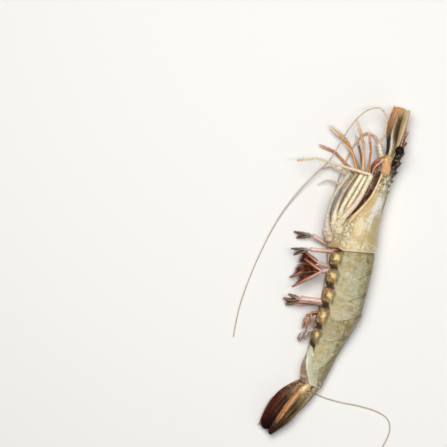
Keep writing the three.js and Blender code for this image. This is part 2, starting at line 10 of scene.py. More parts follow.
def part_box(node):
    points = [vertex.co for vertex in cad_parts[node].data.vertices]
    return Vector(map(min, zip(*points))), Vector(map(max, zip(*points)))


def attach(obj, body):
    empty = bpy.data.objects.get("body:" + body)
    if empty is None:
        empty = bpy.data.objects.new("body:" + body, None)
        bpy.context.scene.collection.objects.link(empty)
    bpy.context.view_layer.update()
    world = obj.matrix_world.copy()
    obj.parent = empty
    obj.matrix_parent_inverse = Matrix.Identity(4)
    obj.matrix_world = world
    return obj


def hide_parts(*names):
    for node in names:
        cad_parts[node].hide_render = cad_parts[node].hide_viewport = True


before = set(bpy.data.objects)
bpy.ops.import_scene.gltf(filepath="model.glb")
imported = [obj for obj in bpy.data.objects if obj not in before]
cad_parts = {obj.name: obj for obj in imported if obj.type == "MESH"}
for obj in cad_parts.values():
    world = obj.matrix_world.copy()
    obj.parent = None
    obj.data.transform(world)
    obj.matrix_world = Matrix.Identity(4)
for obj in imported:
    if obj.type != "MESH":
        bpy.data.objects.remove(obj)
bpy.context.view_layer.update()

# ---------------------------------------------------------------- camera, light and floor
# The camera looks straight down through a long lens, turned so that the prawn's head
# leans to the right. The main soft light hangs high on the belly side, so the back turns
# dark; a narrow one draws the wet streak along the side, and a weak one lights the back.
MM = 0.001
CAMERA_HEIGHT = 2.0
VIEW_WIDTH = 0.23065
VIEW_CENTRE = (-0.0716, -0.0007)
VIEW_TURN = math.radians(23.5)
SENSOR_WIDTH = 36.0
FLOOR_SIZE = 3.0

lens = bpy.data.cameras.new("camera")
lens.sensor_width = SENSOR_WIDTH
lens.lens = SENSOR_WIDTH * CAMERA_HEIGHT / VIEW_WIDTH
lens.clip_end = 10 * CAMERA_HEIGHT
camera = bpy.data.objects.new("camera", lens)
camera.location = (VIEW_CENTRE[0], VIEW_CENTRE[1], CAMERA_HEIGHT)
camera.rotation_euler = (0.0, 0.0, VIEW_TURN)
bpy.context.scene.collection.objects.link(camera)
bpy.context.scene.camera = camera


def soft_light(name, place, size, power, colour):
    """A rectangular light that points at the prawn."""
    lamp = bpy.data.lights.new(name, "AREA")
    lamp.shape = "RECTANGLE"
    lamp.size, lamp.size_y = size
    lamp.energy = power
    lamp.color = colour
    holder = bpy.data.objects.new(name, lamp)
    holder.location = place
    holder.rotation_euler = (-Vector(place)).to_track_quat("-Z", "Y").to_euler()
    bpy.context.scene.collection.objects.link(holder)


soft_light("key_light", (-0.20, 0.20, 0.95), (0.50, 0.50), 7.9, (1.0, 0.97, 0.92))
soft_light("streak_light", (0.12, 0.08, 0.80), (0.05, 0.34), 1.5, (1.0, 1.0, 1.0))
soft_light("back_light", (0.60, -0.20, 0.45), (0.40, 0.40), 0.45, (0.95, 0.97, 1.0))

world = bpy.data.worlds.new("studio")
world.use_nodes = True
sky = world.node_tree.nodes["Background"].inputs
sky["Color"].default_value = (0.90, 0.93, 1.0, 1.0)
sky["Strength"].default_value = 0.09
bpy.context.scene.world = world
bpy.context.scene.view_settings.view_transform = "Standard"

bpy.ops.object.select_all(action="DESELECT")
bpy.ops.mesh.primitive_plane_add(size=FLOOR_SIZE)
floor = bpy.context.object
floor.name = "floor"
floor_paint = bpy.data.materials.new("floor_paint")
floor_paint.use_nodes = True
floor_inputs = floor_paint.node_tree.nodes["Principled BSDF"].inputs
floor_inputs["Base Color"].default_value = (0.88, 0.88, 0.87, 1.0)
floor_inputs["Roughness"].default_value = 0.7
floor.data.materials.append(floor_paint)

# ---------------------------------------------------------------- carapace
# The horny shield over the head and thorax: one thin shell, open below, with a beaded
# lower margin, a rear rim, a crest along the back and low keels round the liver.
# It is a flat sheet laid over the body, station by station, and given a thickness.

# Stations run from the rear to the front: back x, y, lower edge x, y, half breadth and
# height of the middle plane, in millimetres on the body's own grid.
CARAPACE = [
    (13.5, 106.6, -4.7, 100.3, 10.9, 11.1),
    (12.1, 113.0, -5.8, 108.2, 11.6, 11.1),
    (10.1, 119.4, -6.0, 117.4, 11.4, 11.1),
    (8.6, 126.0, -3.4, 124.4, 10.1, 11.1),
    (7.3, 133.2, -0.8, 132.2, 8.0, 11.1),
    (6.3, 140.4, -0.1, 140.0, 6.3, 11.1),
    (5.6, 147.5, -0.3, 147.5, 4.5, 11.1),
]
MIDDLE = 11.1
ROSTRUM_TIP_Y = 181.2
SHELL_THICKNESS = 0.3
# The shield is widest at this turn, from 0 on the back to 1 at its edge, and this height.
SHIELD_WIDE_TURN = 0.62
SHIELD_WIDE_HEIGHT = 0.42

# The grid's own zero, found from the rear corner of the carapace's back and the rostrum's tip.
grid_zero = Vector((
    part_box("carapace")[1].x - CARAPACE[0][0] * MM,
    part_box("carapace")[1].y - ROSTRUM_TIP_Y * MM,
    0.0,
))


def spot(point):
    """A point of the body's grid, in metres in the frame."""
    return grid_zero + Vector(point) * MM


def curve_point(points, share):
    """A point on the smooth curve through points, from 0 at the first to 1 at the last."""
    reach = min(max(share, 0.0), 1.0) * (len(points) - 1)
    k = min(int(reach), len(points) - 2)
    t = reach - k
    before = points[max(k - 1, 0)]
    after = points[min(k + 2, len(points) - 1)]
    return [
        b + 0.5 * t * (c - a + t * (2 * a - 5 * b + 4 * c - d + t * (3 * (b - c) + d - a)))
        for a, b, c, d in zip(before, points[k], points[k + 1], after)
    ]


def ease(low, high, value):
    """0 below low, 1 above high, and smooth between them."""
    t = min(max((value - low) / (high - low), 0.0), 1.0)
    return t * t * (3 - 2 * t)


def bump(value, centre, width):
    """A smooth hill of height 1."""
    return math.exp(-((value - centre) / width) ** 2)


def flank(v):
    """Turn, from 0 on the back to 1 below, and side, 1 or -1, of a place round a sheet."""
    return abs(2 * v - 1), 1 if v > 0.5 else -1


def body_point(stations, share, height, side, swell):
    """A point of the body's skin at a share of the stations: height runs from the lower edge to
    the back, side from the middle plane to the flank, and swell outwards, in millimetres."""
    back_x, back_y, edge_x, edge_y, half, middle = curve_point(stations, share)
    depth = math.hypot(back_x - edge_x, back_y - edge_y)
    out = Vector(((height - 0.5) * depth, side * half))
    out += out.normalized() * swell
    lift = 0.5 + out.x / depth
    return (
        edge_x + (back_x - edge_x) * lift,
        edge_y + (back_y - edge_y) * lift,
        max(middle + out.y, 0.0),
    )


def sheet(name, columns, rows, place):
    """A grid laid where place(u, v) says, with u and v from 0 to 1 kept on it for the colours,
    and across, from -1 at one edge of a rolled sheet to 1 at the other."""
    bpy.ops.object.select_all(action="DESELECT")
    bpy.ops.mesh.primitive_grid_add(x_subdivisions=columns, y_subdivisions=rows, size=1.0)
    piece = bpy.context.object
    piece.name = name
    piece.data.name = name
    along = piece.data.attributes.new("along", "FLOAT", "POINT")
    around = piece.data.attributes.new("around", "FLOAT", "POINT")
    across = piece.data.attributes.new("across", "FLOAT", "POINT")
    for vertex in piece.data.vertices:
        u, v = vertex.co.x + 0.5, vertex.co.y + 0.5
        along.data[vertex.index].value = u
        around.data[vertex.index].value = v
        across.data[vertex.index].value = math.cos(2 * math.pi * v)
        vertex.co = spot(place(u, v))
    return piece


def thicken(piece, centre):
    """Gives an open sheet the thickness of a shell on the side towards centre."""
    middle = piece.data.polygons[len(piece.data.polygons) // 2]
    if middle.normal.dot(middle.center - spot(centre)) < 0:
        piece.data.flip_normals()
    bpy.context.view_layer.objects.active = piece
    bpy.ops.object.modifier_add(type="SOLIDIFY")
    wall = piece.modifiers[-1]
    wall.thickness = SHELL_THICKNESS * MM
    wall.offset = -1.0
    wall.use_even_offset = True
    bpy.ops.object.modifier_apply(modifier=wall.name)
    bpy.ops.object.shade_smooth()


def finish_piece(piece, material, slot, *nodes):
    """Paints the piece and lets it take the place of its plain solids."""
    piece.data.materials.clear()
    piece.data.materials.append(material)
    if nodes:
        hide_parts(*nodes)
    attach(piece, "root")


class Paint:
    """A wet natural surface, built up from washes of colour over a first one."""

    def __init__(self, name, colour, roughness, coat, soft=0.12, coat_roughness=0.14, shine=0.25):
        self.material = bpy.data.materials.new(name)
        self.material.use_nodes = True
        self.tree = self.material.node_tree
        self.inputs = self.tree.nodes["Principled BSDF"].inputs
        for key, value in (
            ("Roughness", roughness), ("Coat Weight", coat), ("Coat Roughness", coat_roughness),
            ("Specular IOR Level", shine), ("Subsurface Weight", soft),
            ("Subsurface Radius", (1.0, 0.6, 0.35)), ("Subsurface Scale", 1.5 * MM),
        ):
            self.inputs[key].default_value = value
        self.place = self.tree.nodes.new("ShaderNodeTexCoord").outputs["Object"]
        start = self.tree.nodes.new("ShaderNodeRGB")
        start.outputs[0].default_value = (*colour, 1.0)
        self.colour = start.outputs[0]

    def node(self, kind, inputs, **settings):
        """A node with its settings, and its inputs linked or set."""
        made = self.tree.nodes.new(kind)
        for key, value in settings.items():
            setattr(made, key, value)
        for key, value in inputs.items():
            if isinstance(value, bpy.types.NodeSocket):
                self.tree.links.new(value, made.inputs[key])
            else:
                made.inputs[key].default_value = value
        return made

    def value(self, name):
        """A value kept on the mesh under a name."""
        return self.node("ShaderNodeAttribute", {}, attribute_name=name).outputs["Fac"]

    def math(self, operation, first, second=0.0):
        """The result of one sum."""
        return self.node("ShaderNodeMath", {0: first, 1: second}, operation=operation).outputs[0]

    def turn(self):
        """How far round an open sheet a place is, from 0 on the back to 1 at both edges."""
        doubled = self.math("MULTIPLY", self.value("around"), 2.0)
        return self.math("ABSOLUTE", self.math("SUBTRACT", doubled, 1.0))

    def breadth(self):
        """How far across a rolled sheet a place is, from 0 at one edge to 1 at the other."""
        return self.math("ADD", self.math("MULTIPLY", self.value("across"), 0.5), 0.5)

    def grain(self, where, scale, detail):
        """Soft noise at a place."""
        settings = {"Vector": where.outputs[0], "Scale": scale, "Detail": detail, "Roughness": 0.6}
        return self.node("ShaderNodeTexNoise", settings).outputs["Fac"]

    def cloud(self, size, detail=3.0, stretch=(1.0, 1.0, 1.0), seed=0.0):
        """Soft noise with features of a size in millimetres."""
        shift = (seed, seed * 0.7, seed * 1.3)
        settings = {"Vector": self.place, "Scale": stretch, "Location": shift}
        return self.grain(self.node("ShaderNodeMapping", settings), 1.0 / (size * MM), detail)

    def wander(self, value, cloud, amount):
        """A value moved to and fro by a cloud."""
        return self.math("ADD", value, self.math("MULTIPLY", self.math("SUBTRACT", cloud, 0.5), amount))

    def fibres(self, across, length, seed=0.0, edge_on=False):
        """Noise in long streaks that follow the piece: so many across it and along it.
        A limb's flat side is a quarter turn from a blade's, and is asked for by edge_on."""
        place = self.value("across")
        if edge_on:
            place = self.math("SINE", self.math("MULTIPLY", self.value("around"), 2 * math.pi))
        where = self.node("ShaderNodeCombineXYZ", {
            "X": self.math("MULTIPLY", place, across),
            "Y": self.math("MULTIPLY", self.value("along"), length),
            "Z": seed,
        })
        return self.grain(where, 1.0, 5.0)

    def ramp(self, value, *stops):
        """Values between stops, each (place, result)."""
        made = self.node("ShaderNodeValToRGB", {"Fac": value})
        while len(made.color_ramp.elements) < len(stops):
            made.color_ramp.elements.new(0.5)
        for element, (where, result) in zip(made.color_ramp.elements, stops):
            element.position = where
            shade = result if isinstance(result, tuple) else (result, result, result)
            element.color = (*shade, 1.0)
        return made.outputs["Color"]

    def overlap(self, *areas):
        """The share where all areas meet: each is a share, or a value with its ramp's stops."""
        shares = [self.ramp(*area) if isinstance(area, tuple) else area for area in areas]
        whole = shares[0]
        for share in shares[1:]:
            whole = self.math("MULTIPLY", whole, share)
        return whole

    def wash(self, colour, *areas):
        """Lays a colour over what is there, where all areas meet."""
        share = self.overlap(*areas)
        mixed = self.node("ShaderNodeMix", {0: share, 6: self.colour}, data_type="RGBA")
        if isinstance(colour, bpy.types.NodeSocket):
            self.tree.links.new(colour, mixed.inputs[7])
        else:
            mixed.inputs[7].default_value = (*colour, 1.0)
        self.colour = mixed.outputs[2]

    def done(self, height, *parts):
        """Links the colour, and a relief of a height in millimetres: the sum of its parts, each
        a noise and its weight."""
        relief = 0.0
        for part, weight in parts:
            relief = self.math("ADD", relief, self.math("MULTIPLY", part, weight))
        settings = {"Height": relief, "Strength": 1.0, "Distance": height * MM}
        raised = self.node("ShaderNodeBump", settings)
        self.tree.links.new(raised.outputs[0], self.inputs["Normal"])
        self.tree.links.new(self.colour, self.inputs["Base Color"])
        return self.material


def carapace_side(turn):
    """Height and side, shares of depth and half breadth, at a turn of 0 on the back to 1 below."""
    if turn < SHIELD_WIDE_TURN:
        angle = turn / SHIELD_WIDE_TURN * math.pi / 2
        height = SHIELD_WIDE_HEIGHT + (1 - SHIELD_WIDE_HEIGHT) * math.cos(angle)
        return height, math.sin(angle) ** 1.1
    low = (turn - SHIELD_WIDE_TURN) / (1 - SHIELD_WIDE_TURN)
    return SHIELD_WIDE_HEIGHT * (1 - low), 1 - 0.26 * low ** 2.6


def carapace_relief(u, turn):
    """How far the shell stands out, in millimetres, u from 0 at the rear to 1 at the front."""
    crest = (0.25 + 0.55 * ease(0.35, 0.8, u)) * bump(turn, 0.0, 0.045) * ease(0.05, 0.3, u)
    gutter = -0.35 * bump(turn, 0.12, 0.05) * ease(0.4, 0.65, u)
    keel = 0.4 * bump(turn, 0.60 + 0.25 * (u - 0.55), 0.035) * ease(0.50, 0.56, u)
    throat = -0.5 * bump(u, 0.47 - 0.22 * (turn - 0.5), 0.028) * bump(turn, 0.42, 0.24)
    antennal = 0.35 * bump(turn, 0.40, 0.035) * ease(0.78, 0.86, u)
    gill_line = -0.25 * bump(turn, 0.50 - 0.12 * u, 0.02) * (1 - ease(0.42, 0.5, u))
    margin = (0.35 * bump(turn, 0.965, 0.03) - 0.22 * bump(turn, 0.90, 0.03)) * ease(0.20, 0.45, u)
    rear = 0.10 * bump(u, 0.012, 0.014) - 0.08 * bump(u, 0.055, 0.018)
    return crest + gutter + keel + throat + antennal + gill_line + margin + rear


def carapace_place(u, v):
    """Where the sheet of the carapace lies."""
    turn, way = flank(v)
    height, side = carapace_side(turn)
    notch = -0.055 * bump(turn, 0.30, 0.10) + 0.025 * bump(turn, 0.46, 0.05)
    notch -= 0.05 * ease(0.70, 1.0, turn)
    tuck = 0.032 * ease(0.86, 1.0, turn) * (1 - ease(0.0, 0.22, u))
    reach = u + notch * ease(0.80, 1.0, u) + tuck
    uneven = 0.16 * noise.noise(Vector((u * 9, v * 9, 3.0)))
    swell = carapace_relief(u, turn) + uneven - 0.1
    return body_point(CARAPACE, reach, height, side * way, swell)


def shell_paint():
    """The speckled cream and tan of the shield, with a peach margin, a green crest and painted
    highlights.
    """
    paint = Paint(
        "carapace_shell_paint", (0.62, 0.45, 0.22), roughness=0.40, coat=0.35, coat_roughness=0.20)
    along = paint.value("along")
    turn = paint.turn()
    broad = paint.cloud(6.0)
    patches = paint.cloud(2.6, seed=4.0)
    flecks = paint.cloud(1.5, 2.0, seed=7.0)
    fine = paint.cloud(0.9, 4.0, seed=14.0)
    streaks = paint.cloud(2.8, 4.0, stretch=(1.0, 0.22, 1.0), seed=9.0)
    wrinkles = paint.cloud(2.0, stretch=(0.35, 1.4, 0.35), seed=17.0)
    paint.wash((0.7, 0.57, 0.31), (broad, (0.44, 0), (0.58, 0.9)))
    paint.wash((0.5, 0.35, 0.15), (streaks, (0.56, 0), (0.68, 0.5)))
    wobble = paint.wander(turn, streaks, 0.3)
    paint.wash(
        (0.5, 0.43, 0.19), (wobble, (0.04, 0), (0.2, 0.55), (0.32, 0.6), (0.44, 0)),
        (along, (0, 0.5), (0.3, 1), (0.42, 0.8), (0.6, 0)))
    paint.wash((0.24, 0.2, 0.1), (wobble, (0, 0.9), (0.09, 0)))
    paint.wash((0.56, 0.5, 0.4), (wobble, (0.06, 0), (0.11, 0.8), (0.16, 0)))
    # Painted highlight: a pale band along the middle of the flank, where the wet shell catches the
    # light, and a whiter, broader one towards the front.
    paint.wash(
        (0.9, 0.87, 0.78), (wobble, (0.36, 0), (0.43, 0.8), (0.48, 0.8), (0.56, 0)),
        (along, (0.2, 0.1), (0.38, 1)))
    paint.wash(
        (0.93, 0.91, 0.84), (wobble, (0.14, 0), (0.28, 1), (0.48, 1), (0.66, 0)),
        (along, (0.44, 0), (0.58, 1), (0.66, 0.95), (0.76, 0.1)))
    front = paint.ramp(along, (0.66, 0), (0.8, 0.9))
    paint.wash((0.26, 0.27, 0.14), front, (patches, (0.42, 0), (0.52, 1)))
    paint.wash((0.05, 0.045, 0.03), front, (flecks, (0.56, 0), (0.62, 0.9)))
    # Pale flecks over the green front mottle: partly the shell's own pale specks, partly painted glints
    # of the wet shell.
    paint.wash((0.84, 0.84, 0.72), front, (flecks, (0.36, 0.9), (0.44, 0)))
    low = paint.overlap((turn, (0.76, 0), (0.84, 1)), (along, (0.08, 0), (0.16, 1), (0.4, 1), (0.5, 0)))
    paint.wash((0.34, 0.34, 0.2), low, (patches, (0.5, 0), (0.56, 0.9)))
    # Pale flecks in the low grey-green mottle: partly pale specks, partly painted glints.
    paint.wash((0.9, 0.86, 0.7), low, (flecks, (0.5, 0), (0.56, 0.9)))
    paint.wash((0.6, 0.42, 0.2), (turn, (0.84, 0), (0.9, 0.6), (0.93, 0)), (along, (0.3, 0), (0.42, 1)))
    rim = paint.math("ADD", turn, paint.math("MULTIPLY", along, 0.07))
    paint.wash((0.92, 0.64, 0.38), (rim, (0.925, 0), (0.945, 1), (1, 1)), (along, (0.26, 0), (0.36, 1)))
    paint.wash(
        (0.86, 0.8, 0.58), (along, (0.02, 0), (0.07, 0.8), (0.16, 0)), (flecks, (0.46, 0), (0.54, 1)))
    paint.wash((0.44, 0.33, 0.15), (wrinkles, (0.52, 0), (0.66, 0.5)))
    paint.wash((0.84, 0.78, 0.58), (along, (0, 0.7), (0.018, 0.5), (0.03, 0)))
    paint.wash((0.2, 0.15, 0.06), (fine, (0.62, 0), (0.72, 0.4)))
    return paint.done(0.28, (wrinkles, 0.8), (patches, 1.2), (fine, 0.3))


carapace = sheet("carapace_shell", columns=110, rows=120, place=carapace_place)
thicken(carapace, (3.0, 122.0, MIDDLE))
finish_piece(carapace, shell_paint(), "shell", "carapace")

# ---------------------------------------------------------------- rostrum
# The flat toothed blade that grows out of the crest between the eyes. Seven teeth lean
# forward on its upper edge and three on its lower one, and a keel runs along each side.
ROSTRUM_TOP = [
    (7.0, 133), (6.2, 141), (6.6, 149), (6.2, 157), (4.7, 165), (2.5, 173), (0.3, ROSTRUM_TIP_Y)]
ROSTRUM_UNDER = [(3.4, 133), (2.2, 146), (2.6, 155), (1.7, 163), (0.6, 172), (0.0, ROSTRUM_TIP_Y - 0.4)]
ROSTRUM_HALF_BREADTH = 1.5
TEETH_ABOVE = 7
TEETH_BELOW = 3
TOOTH_HEIGHT = 1.25
TOOTH_SLOPE = 0.66
TOOTH_DROP = 0.10
WELD_DISTANCE = 2e-6


def weld(turn_outwards=True):
    """Merges the points of the newest sheet that lie on each other, and turns its faces outwards."""
    bpy.ops.object.mode_set(mode="EDIT")
    bpy.ops.mesh.select_all(action="SELECT")
    bpy.ops.mesh.remove_doubles(threshold=WELD_DISTANCE)
    if turn_outwards:
        bpy.ops.mesh.normals_make_consistent(inside=False)
    bpy.ops.object.mode_set(mode="OBJECT")


def rolled(name, columns, rows, place):
    """A sheet rolled up and closed along its seam and at its ends."""
    piece = sheet(name, columns, rows, place)
    weld()
    bpy.ops.object.shade_smooth()
    return piece


def tooth(share, start, end, count):
    """Height of a row of teeth at a share of the blade: a long slope and a steep drop."""
    step = (share - start) / (end - start) * count
    if not 0 <= step < count:
        return 0.0
    climb = step % 1.0
    if climb < TOOTH_SLOPE:
        return climb / TOOTH_SLOPE
    return max(0.0, 1 - (climb - TOOTH_SLOPE) / TOOTH_DROP)


def rostrum_place(u, v):
    """Where the rolled sheet of the blade lies."""
    turn = 2 * math.pi * v
    top, under = curve_point(ROSTRUM_TOP, u), curve_point(ROSTRUM_UNDER, u)
    high = max(math.cos(turn), 0.0) ** 12
    low = max(-math.cos(turn), 0.0) ** 12
    upper = TOOTH_HEIGHT * tooth(u, 0.04, 0.80, TEETH_ABOVE) * high
    lower = TOOTH_HEIGHT * 0.6 * tooth(u, 0.56, 0.88, TEETH_BELOW) * low
    lift = 0.5 + 0.5 * math.cos(turn)
    keel = 1 + 0.25 * bump(abs(math.cos(turn) - 0.25), 0.0, 0.18)
    half = ROSTRUM_HALF_BREADTH * (1 - 0.82 * ease(0.0, 1.0, u)) * (1 - ease(0.97, 1.0, u))
    return (
        under[0] + (top[0] - under[0]) * lift + upper - lower,
        under[1] + (top[1] - under[1]) * lift + 0.7 * (upper + lower),
        MIDDLE + half * math.sin(turn) * abs(math.sin(turn)) ** 0.3 * keel,
    )


def rostrum_paint():
    """Olive and black at the root, red brown and hairy before the eyes, horn at the tip."""
    paint = Paint("rostrum_paint", (0.05, 0.035, 0.02), roughness=0.34, coat=0.5, soft=0.1)
    fine = paint.cloud(1.3, 4.0)
    along = paint.value("along")
    paint.wash((0.2, 0.17, 0.08), (along, (0, 0.9), (0.3, 0)))
    paint.wash((0.26, 0.1, 0.05), (along, (0.36, 0), (0.52, 0.9), (0.74, 0.6)))
    paint.wash((0.6, 0.4, 0.24), (along, (0.66, 0), (0.86, 0.85)))
    paint.wash((0.5, 0.45, 0.34), (fine, (0.54, 0), (0.64, 0.7)))
    paint.wash((0.03, 0.02, 0.012), (fine, (0.34, 0.7), (0.44, 0)))
    return paint.done(0.15, (fine, 1))


rostrum = rolled("rostrum", columns=220, rows=24, place=rostrum_place)
finish_piece(rostrum, rostrum_paint(), "shell", "carapace")

# ---------------------------------------------------------------- thorax
# The body under the shield: flesh that fills it, and the pale underside between the two
# margins, which carries the legs. A rolled sheet through the same stations.
# How far the underside hangs out between the margins, at even steps from rear to front.
THORAX_DEPTH = [6.4, 7.8, 6.6, 4.8, 3.4, 2.8, 2.4]
# The sheet follows the shield down to this turn of the shield, which is THORAX_SIDE_TURN of its
# own, and runs on from there across the underside.
THORAX_SHIELD_TURN = 0.80
THORAX_SIDE_TURN = 0.72


def curve_value(values, share):
    """A value on the smooth curve through a few, from 0 at the first to 1 at the last."""
    return curve_point([(value,) for value in values], share)[0]


def thorax_place(u, v):
    """Where the rolled sheet of the thorax lies."""
    turn, way = flank(v)
    place = 0.02 + 0.96 * u
    back_x, back_y, edge_x, edge_y = curve_point(CARAPACE, place)[:4]
    below = curve_value(THORAX_DEPTH, u) / math.hypot(back_x - edge_x, back_y - edge_y)
    if turn < THORAX_SIDE_TURN:
        height, side = carapace_side(turn / THORAX_SIDE_TURN * THORAX_SHIELD_TURN)
        side *= 0.93
    else:
        low = (turn - THORAX_SIDE_TURN) / (1 - THORAX_SIDE_TURN)
        height = carapace_side(THORAX_SHIELD_TURN)[0] * (1 - low) - below * math.sin(low * math.pi / 2)
        side = 0.86 * (1 - low) + 0.20 * math.sin(low * math.pi)
    end = min(1.0, min(u, 1 - u) / 0.02 + 0.001)
    folds = noise.noise(Vector((u * 16 + v * 6, v * 22, 5.0))) * ease(0.78, 0.84, turn)
    height = 0.45 + (height - 0.45) * end
    return body_point(CARAPACE, place, height, side * way * end, (folds - 0.9) * end)


def flesh_paint(name, first, light, dark, warm):
    """Pale wet flesh and membrane, mottled, with one warm colour in patches."""
    paint = Paint(name, first, roughness=0.36, coat=0.7, soft=0.25)
    broad = paint.cloud(4.5, 4.0)
    fine = paint.cloud(1.2, 5.0, seed=6.0)
    paint.wash(light, (broad, (0.45, 0), (0.62, 0.8)))
    paint.wash(warm, (paint.cloud(6.0, 2.0, seed=12.0), (0.52, 0), (0.66, 0.7)))
    paint.wash(dark, (fine, (0.56, 0), (0.72, 0.7)))
    return paint.done(0.25, (fine, 1))


def thorax_paint():
    """Cream with grey lines between the legs, and near-black painted shade under the mouth."""
    paint = Paint("thorax_flesh", (0.56, 0.43, 0.25), roughness=0.42, coat=0.4, soft=0.15)
    along = paint.value("along")
    broad = paint.cloud(2.6)
    lines = paint.cloud(2.8, 2.0, seed=3.0)
    fine = paint.cloud(1.1, 4.0, seed=6.0)
    paint.wash((0.78, 0.68, 0.47), (broad, (0.44, 0), (0.56, 1)))
    paint.wash((0.16, 0.14, 0.07), (lines, (0.455, 0), (0.49, 0.9), (0.525, 0)))
    paint.wash((0.34, 0.24, 0.12), (fine, (0.56, 0), (0.66, 0.7)))
    paint.wash(
        (0.5, 0.25, 0.08), (along, (0, 0.95), (0.06, 0.6), (0.1, 0)), (broad, (0.44, 0.4), (0.54, 1)))
    # Painted shade: near black over the front, where the underside lies in the gap between the shield
    # and the mouth limbs.
    paint.wash((0.045, 0.02, 0.008), (along, (0.3, 0), (0.42, 0.97)))
    paint.wash((0.3, 0.15, 0.09), (along, (0.4, 0), (0.5, 1)), (broad, (0.52, 0), (0.6, 0.7)))
    return paint.done(0.35, (fine, 1), (broad, 1))


thorax = rolled("thorax_body", columns=90, rows=140, place=thorax_place)
finish_piece(thorax, thorax_paint(), "underside", "thorax")

# ---------------------------------------------------------------- abdomen
# Six ring segments. Each is a shell over the back and sides, open at the belly, and its
# rear rim laps over the next one. The side plates end in rounded lobes. Inside runs the
# darker flesh, which shows at the belly and in the joints. Segment 6 is a closed ring.

# Stations like those of the shield, from the tail to the shield.
ABDOMEN = [
    (15.2, 31.6, 3.8, 31.0, 4.1, 5.6),
    (16.4, 50.8, 0.6, 51.2, 6.6, 6.3),
    (18.0, 61.0, -0.8, 61.0, 8.0, 7.6),
    (19.6, 74.4, -2.6, 72.0, 9.3, 8.9),
    (18.0, 85.8, -4.6, 82.0, 10.1, 9.7),
    (15.8, 98.0, -6.6, 91.0, 10.6, 10.2),
    (13.4, 106.8, -8.2, 99.2, 10.6, 10.8),
]
SEGMENTS = 6
# How far a shell laps over the next one, and how far the last ring's underside swells.
LAP = 1.5
BELLY_BULGE = 1.7
# How far a joint between two rings runs forward of a straight one, in millimetres, at even
# steps from the back to the edge of the side plate.
JOINT_SWEEP = [1.8, 1.2, -0.4, -2.2, -4.0, -4.0, -0.6, 0.0]
# The turn at which a shell is widest, the turn at which the flesh leaves the shells, and the
# turn of the last ring at which its own underside begins.
WIDE_TURN = 0.60
FLESH_SIDE_TURN = 0.80
RING_UNDER_TURN = 0.88


def abdomen_side(turn, lobe=0.0):
    """Height and side of the abdomen's shell at a turn of 0 on the back to 1 at its edge."""
    if turn < WIDE_TURN:
        angle = turn / WIDE_TURN * math.pi / 2
        return 0.5 + 0.5 * math.cos(angle) ** 0.9, math.sin(angle) ** 0.85
    low = (turn - WIDE_TURN) / (1 - WIDE_TURN)
    return 0.5 * (1 - low) + lobe * low, 1 - 0.30 * low ** 2.4


def flesh_place(u, v):
    """Where the rolled sheet of the abdomen's flesh lies."""
    turn, way = flank(v)
    height, side = abdomen_side(min(turn / FLESH_SIDE_TURN, 1.0) * 0.90)
    if turn > FLESH_SIDE_TURN:
        low = (turn - FLESH_SIDE_TURN) / (1 - FLESH_SIDE_TURN)
        height += 0.14 * math.sin(low * math.pi / 2)
        side *= 1 - low
    end = min(1.0, min(u, 1 - u) / 0.015 + 0.001)
    return body_point(ABDOMEN, u, 0.5 + (height - 0.5) * end, side * way * end, -1.1)


def segment_relief(number, s, turn):
    """How far a segment's shell stands out, in millimetres; s is 0 at its rear and 1 in front."""
    rim = 0.10 * (1 - ease(0.0, 0.22, s))
    tuck = -0.38 * ease(0.84, 0.97, s)
    crease = -0.28 * bump(turn, 0.64, 0.02) * ease(0.10, 0.30, s) * (1 - ease(0.70, 0.85, s))
    hinge = 0.55 * bump(turn, 0.66, 0.035) * bump(s, 0.80, 0.07)
    keel = 0.55 * bump(turn, 0.0, 0.035) if number >= 4 else 0.0
    boss = 0.12 * bump(turn, 0.89, 0.04) * bump(s, 0.50, 0.16) if number < SEGMENTS else 0.0
    return rim + tuck + crease + hinge + keel + boss


def segment_placer(number):
    """The function that lays the sheet of one segment."""
    rear = SEGMENTS - number
    start, end = ABDOMEN[rear], ABDOMEN[rear + 1]
    length = math.hypot(end[0] - start[0], end[1] - start[1])
    last = number == SEGMENTS

    def place(u, v):
        turn, way = flank(v)
        if last:
            height, side = abdomen_side(min(turn / RING_UNDER_TURN, 1.0), 0.06)
            if turn > RING_UNDER_TURN:
                side *= (1 - turn) / (1 - RING_UNDER_TURN)
        else:
            lobe = 0.02 + 0.08 * abs(2 * u - 0.9) ** 3
            lobe += 0.03 * noise.noise(Vector((u * 6, number * 5.0, way)))
            height, side = abdomen_side(turn, lobe)
        lap = 0.0 if last else LAP / length * (1 - ease(0.0, 0.5, u))
        sweep = curve_value(JOINT_SWEEP, turn) / length
        sweep *= (0.0 if last else 1 - u) + (0.0 if number == 1 else u)
        where = rear + u + sweep - lap * (1 - 0.5 * ease(0.6, 1.0, turn))
        uneven = 0.14 * noise.noise(Vector((u * 3 + number * 7, v * 8, 1.0)))
        swell = segment_relief(number, u, turn) + uneven
        if last:
            swell += BELLY_BULGE * bump(u, 0.45, 0.28) * ease(0.62, 0.86, turn)
        return body_point(ABDOMEN, where / SEGMENTS, height, side * way, swell)

    return place


# The first colour of each segment, and how much of an olive shade lies over it.
SEGMENT_TINTS = [
    (0.31, 0.27, 0.085), (0.44, 0.41, 0.25), (0.50, 0.48, 0.31),
    (0.36, 0.29, 0.12), (0.58, 0.50, 0.25), (0.40, 0.40, 0.26),
]
SEGMENT_SHADES = [0.12, 0.06, 0.0, 0.12, 0.0, 0.10]


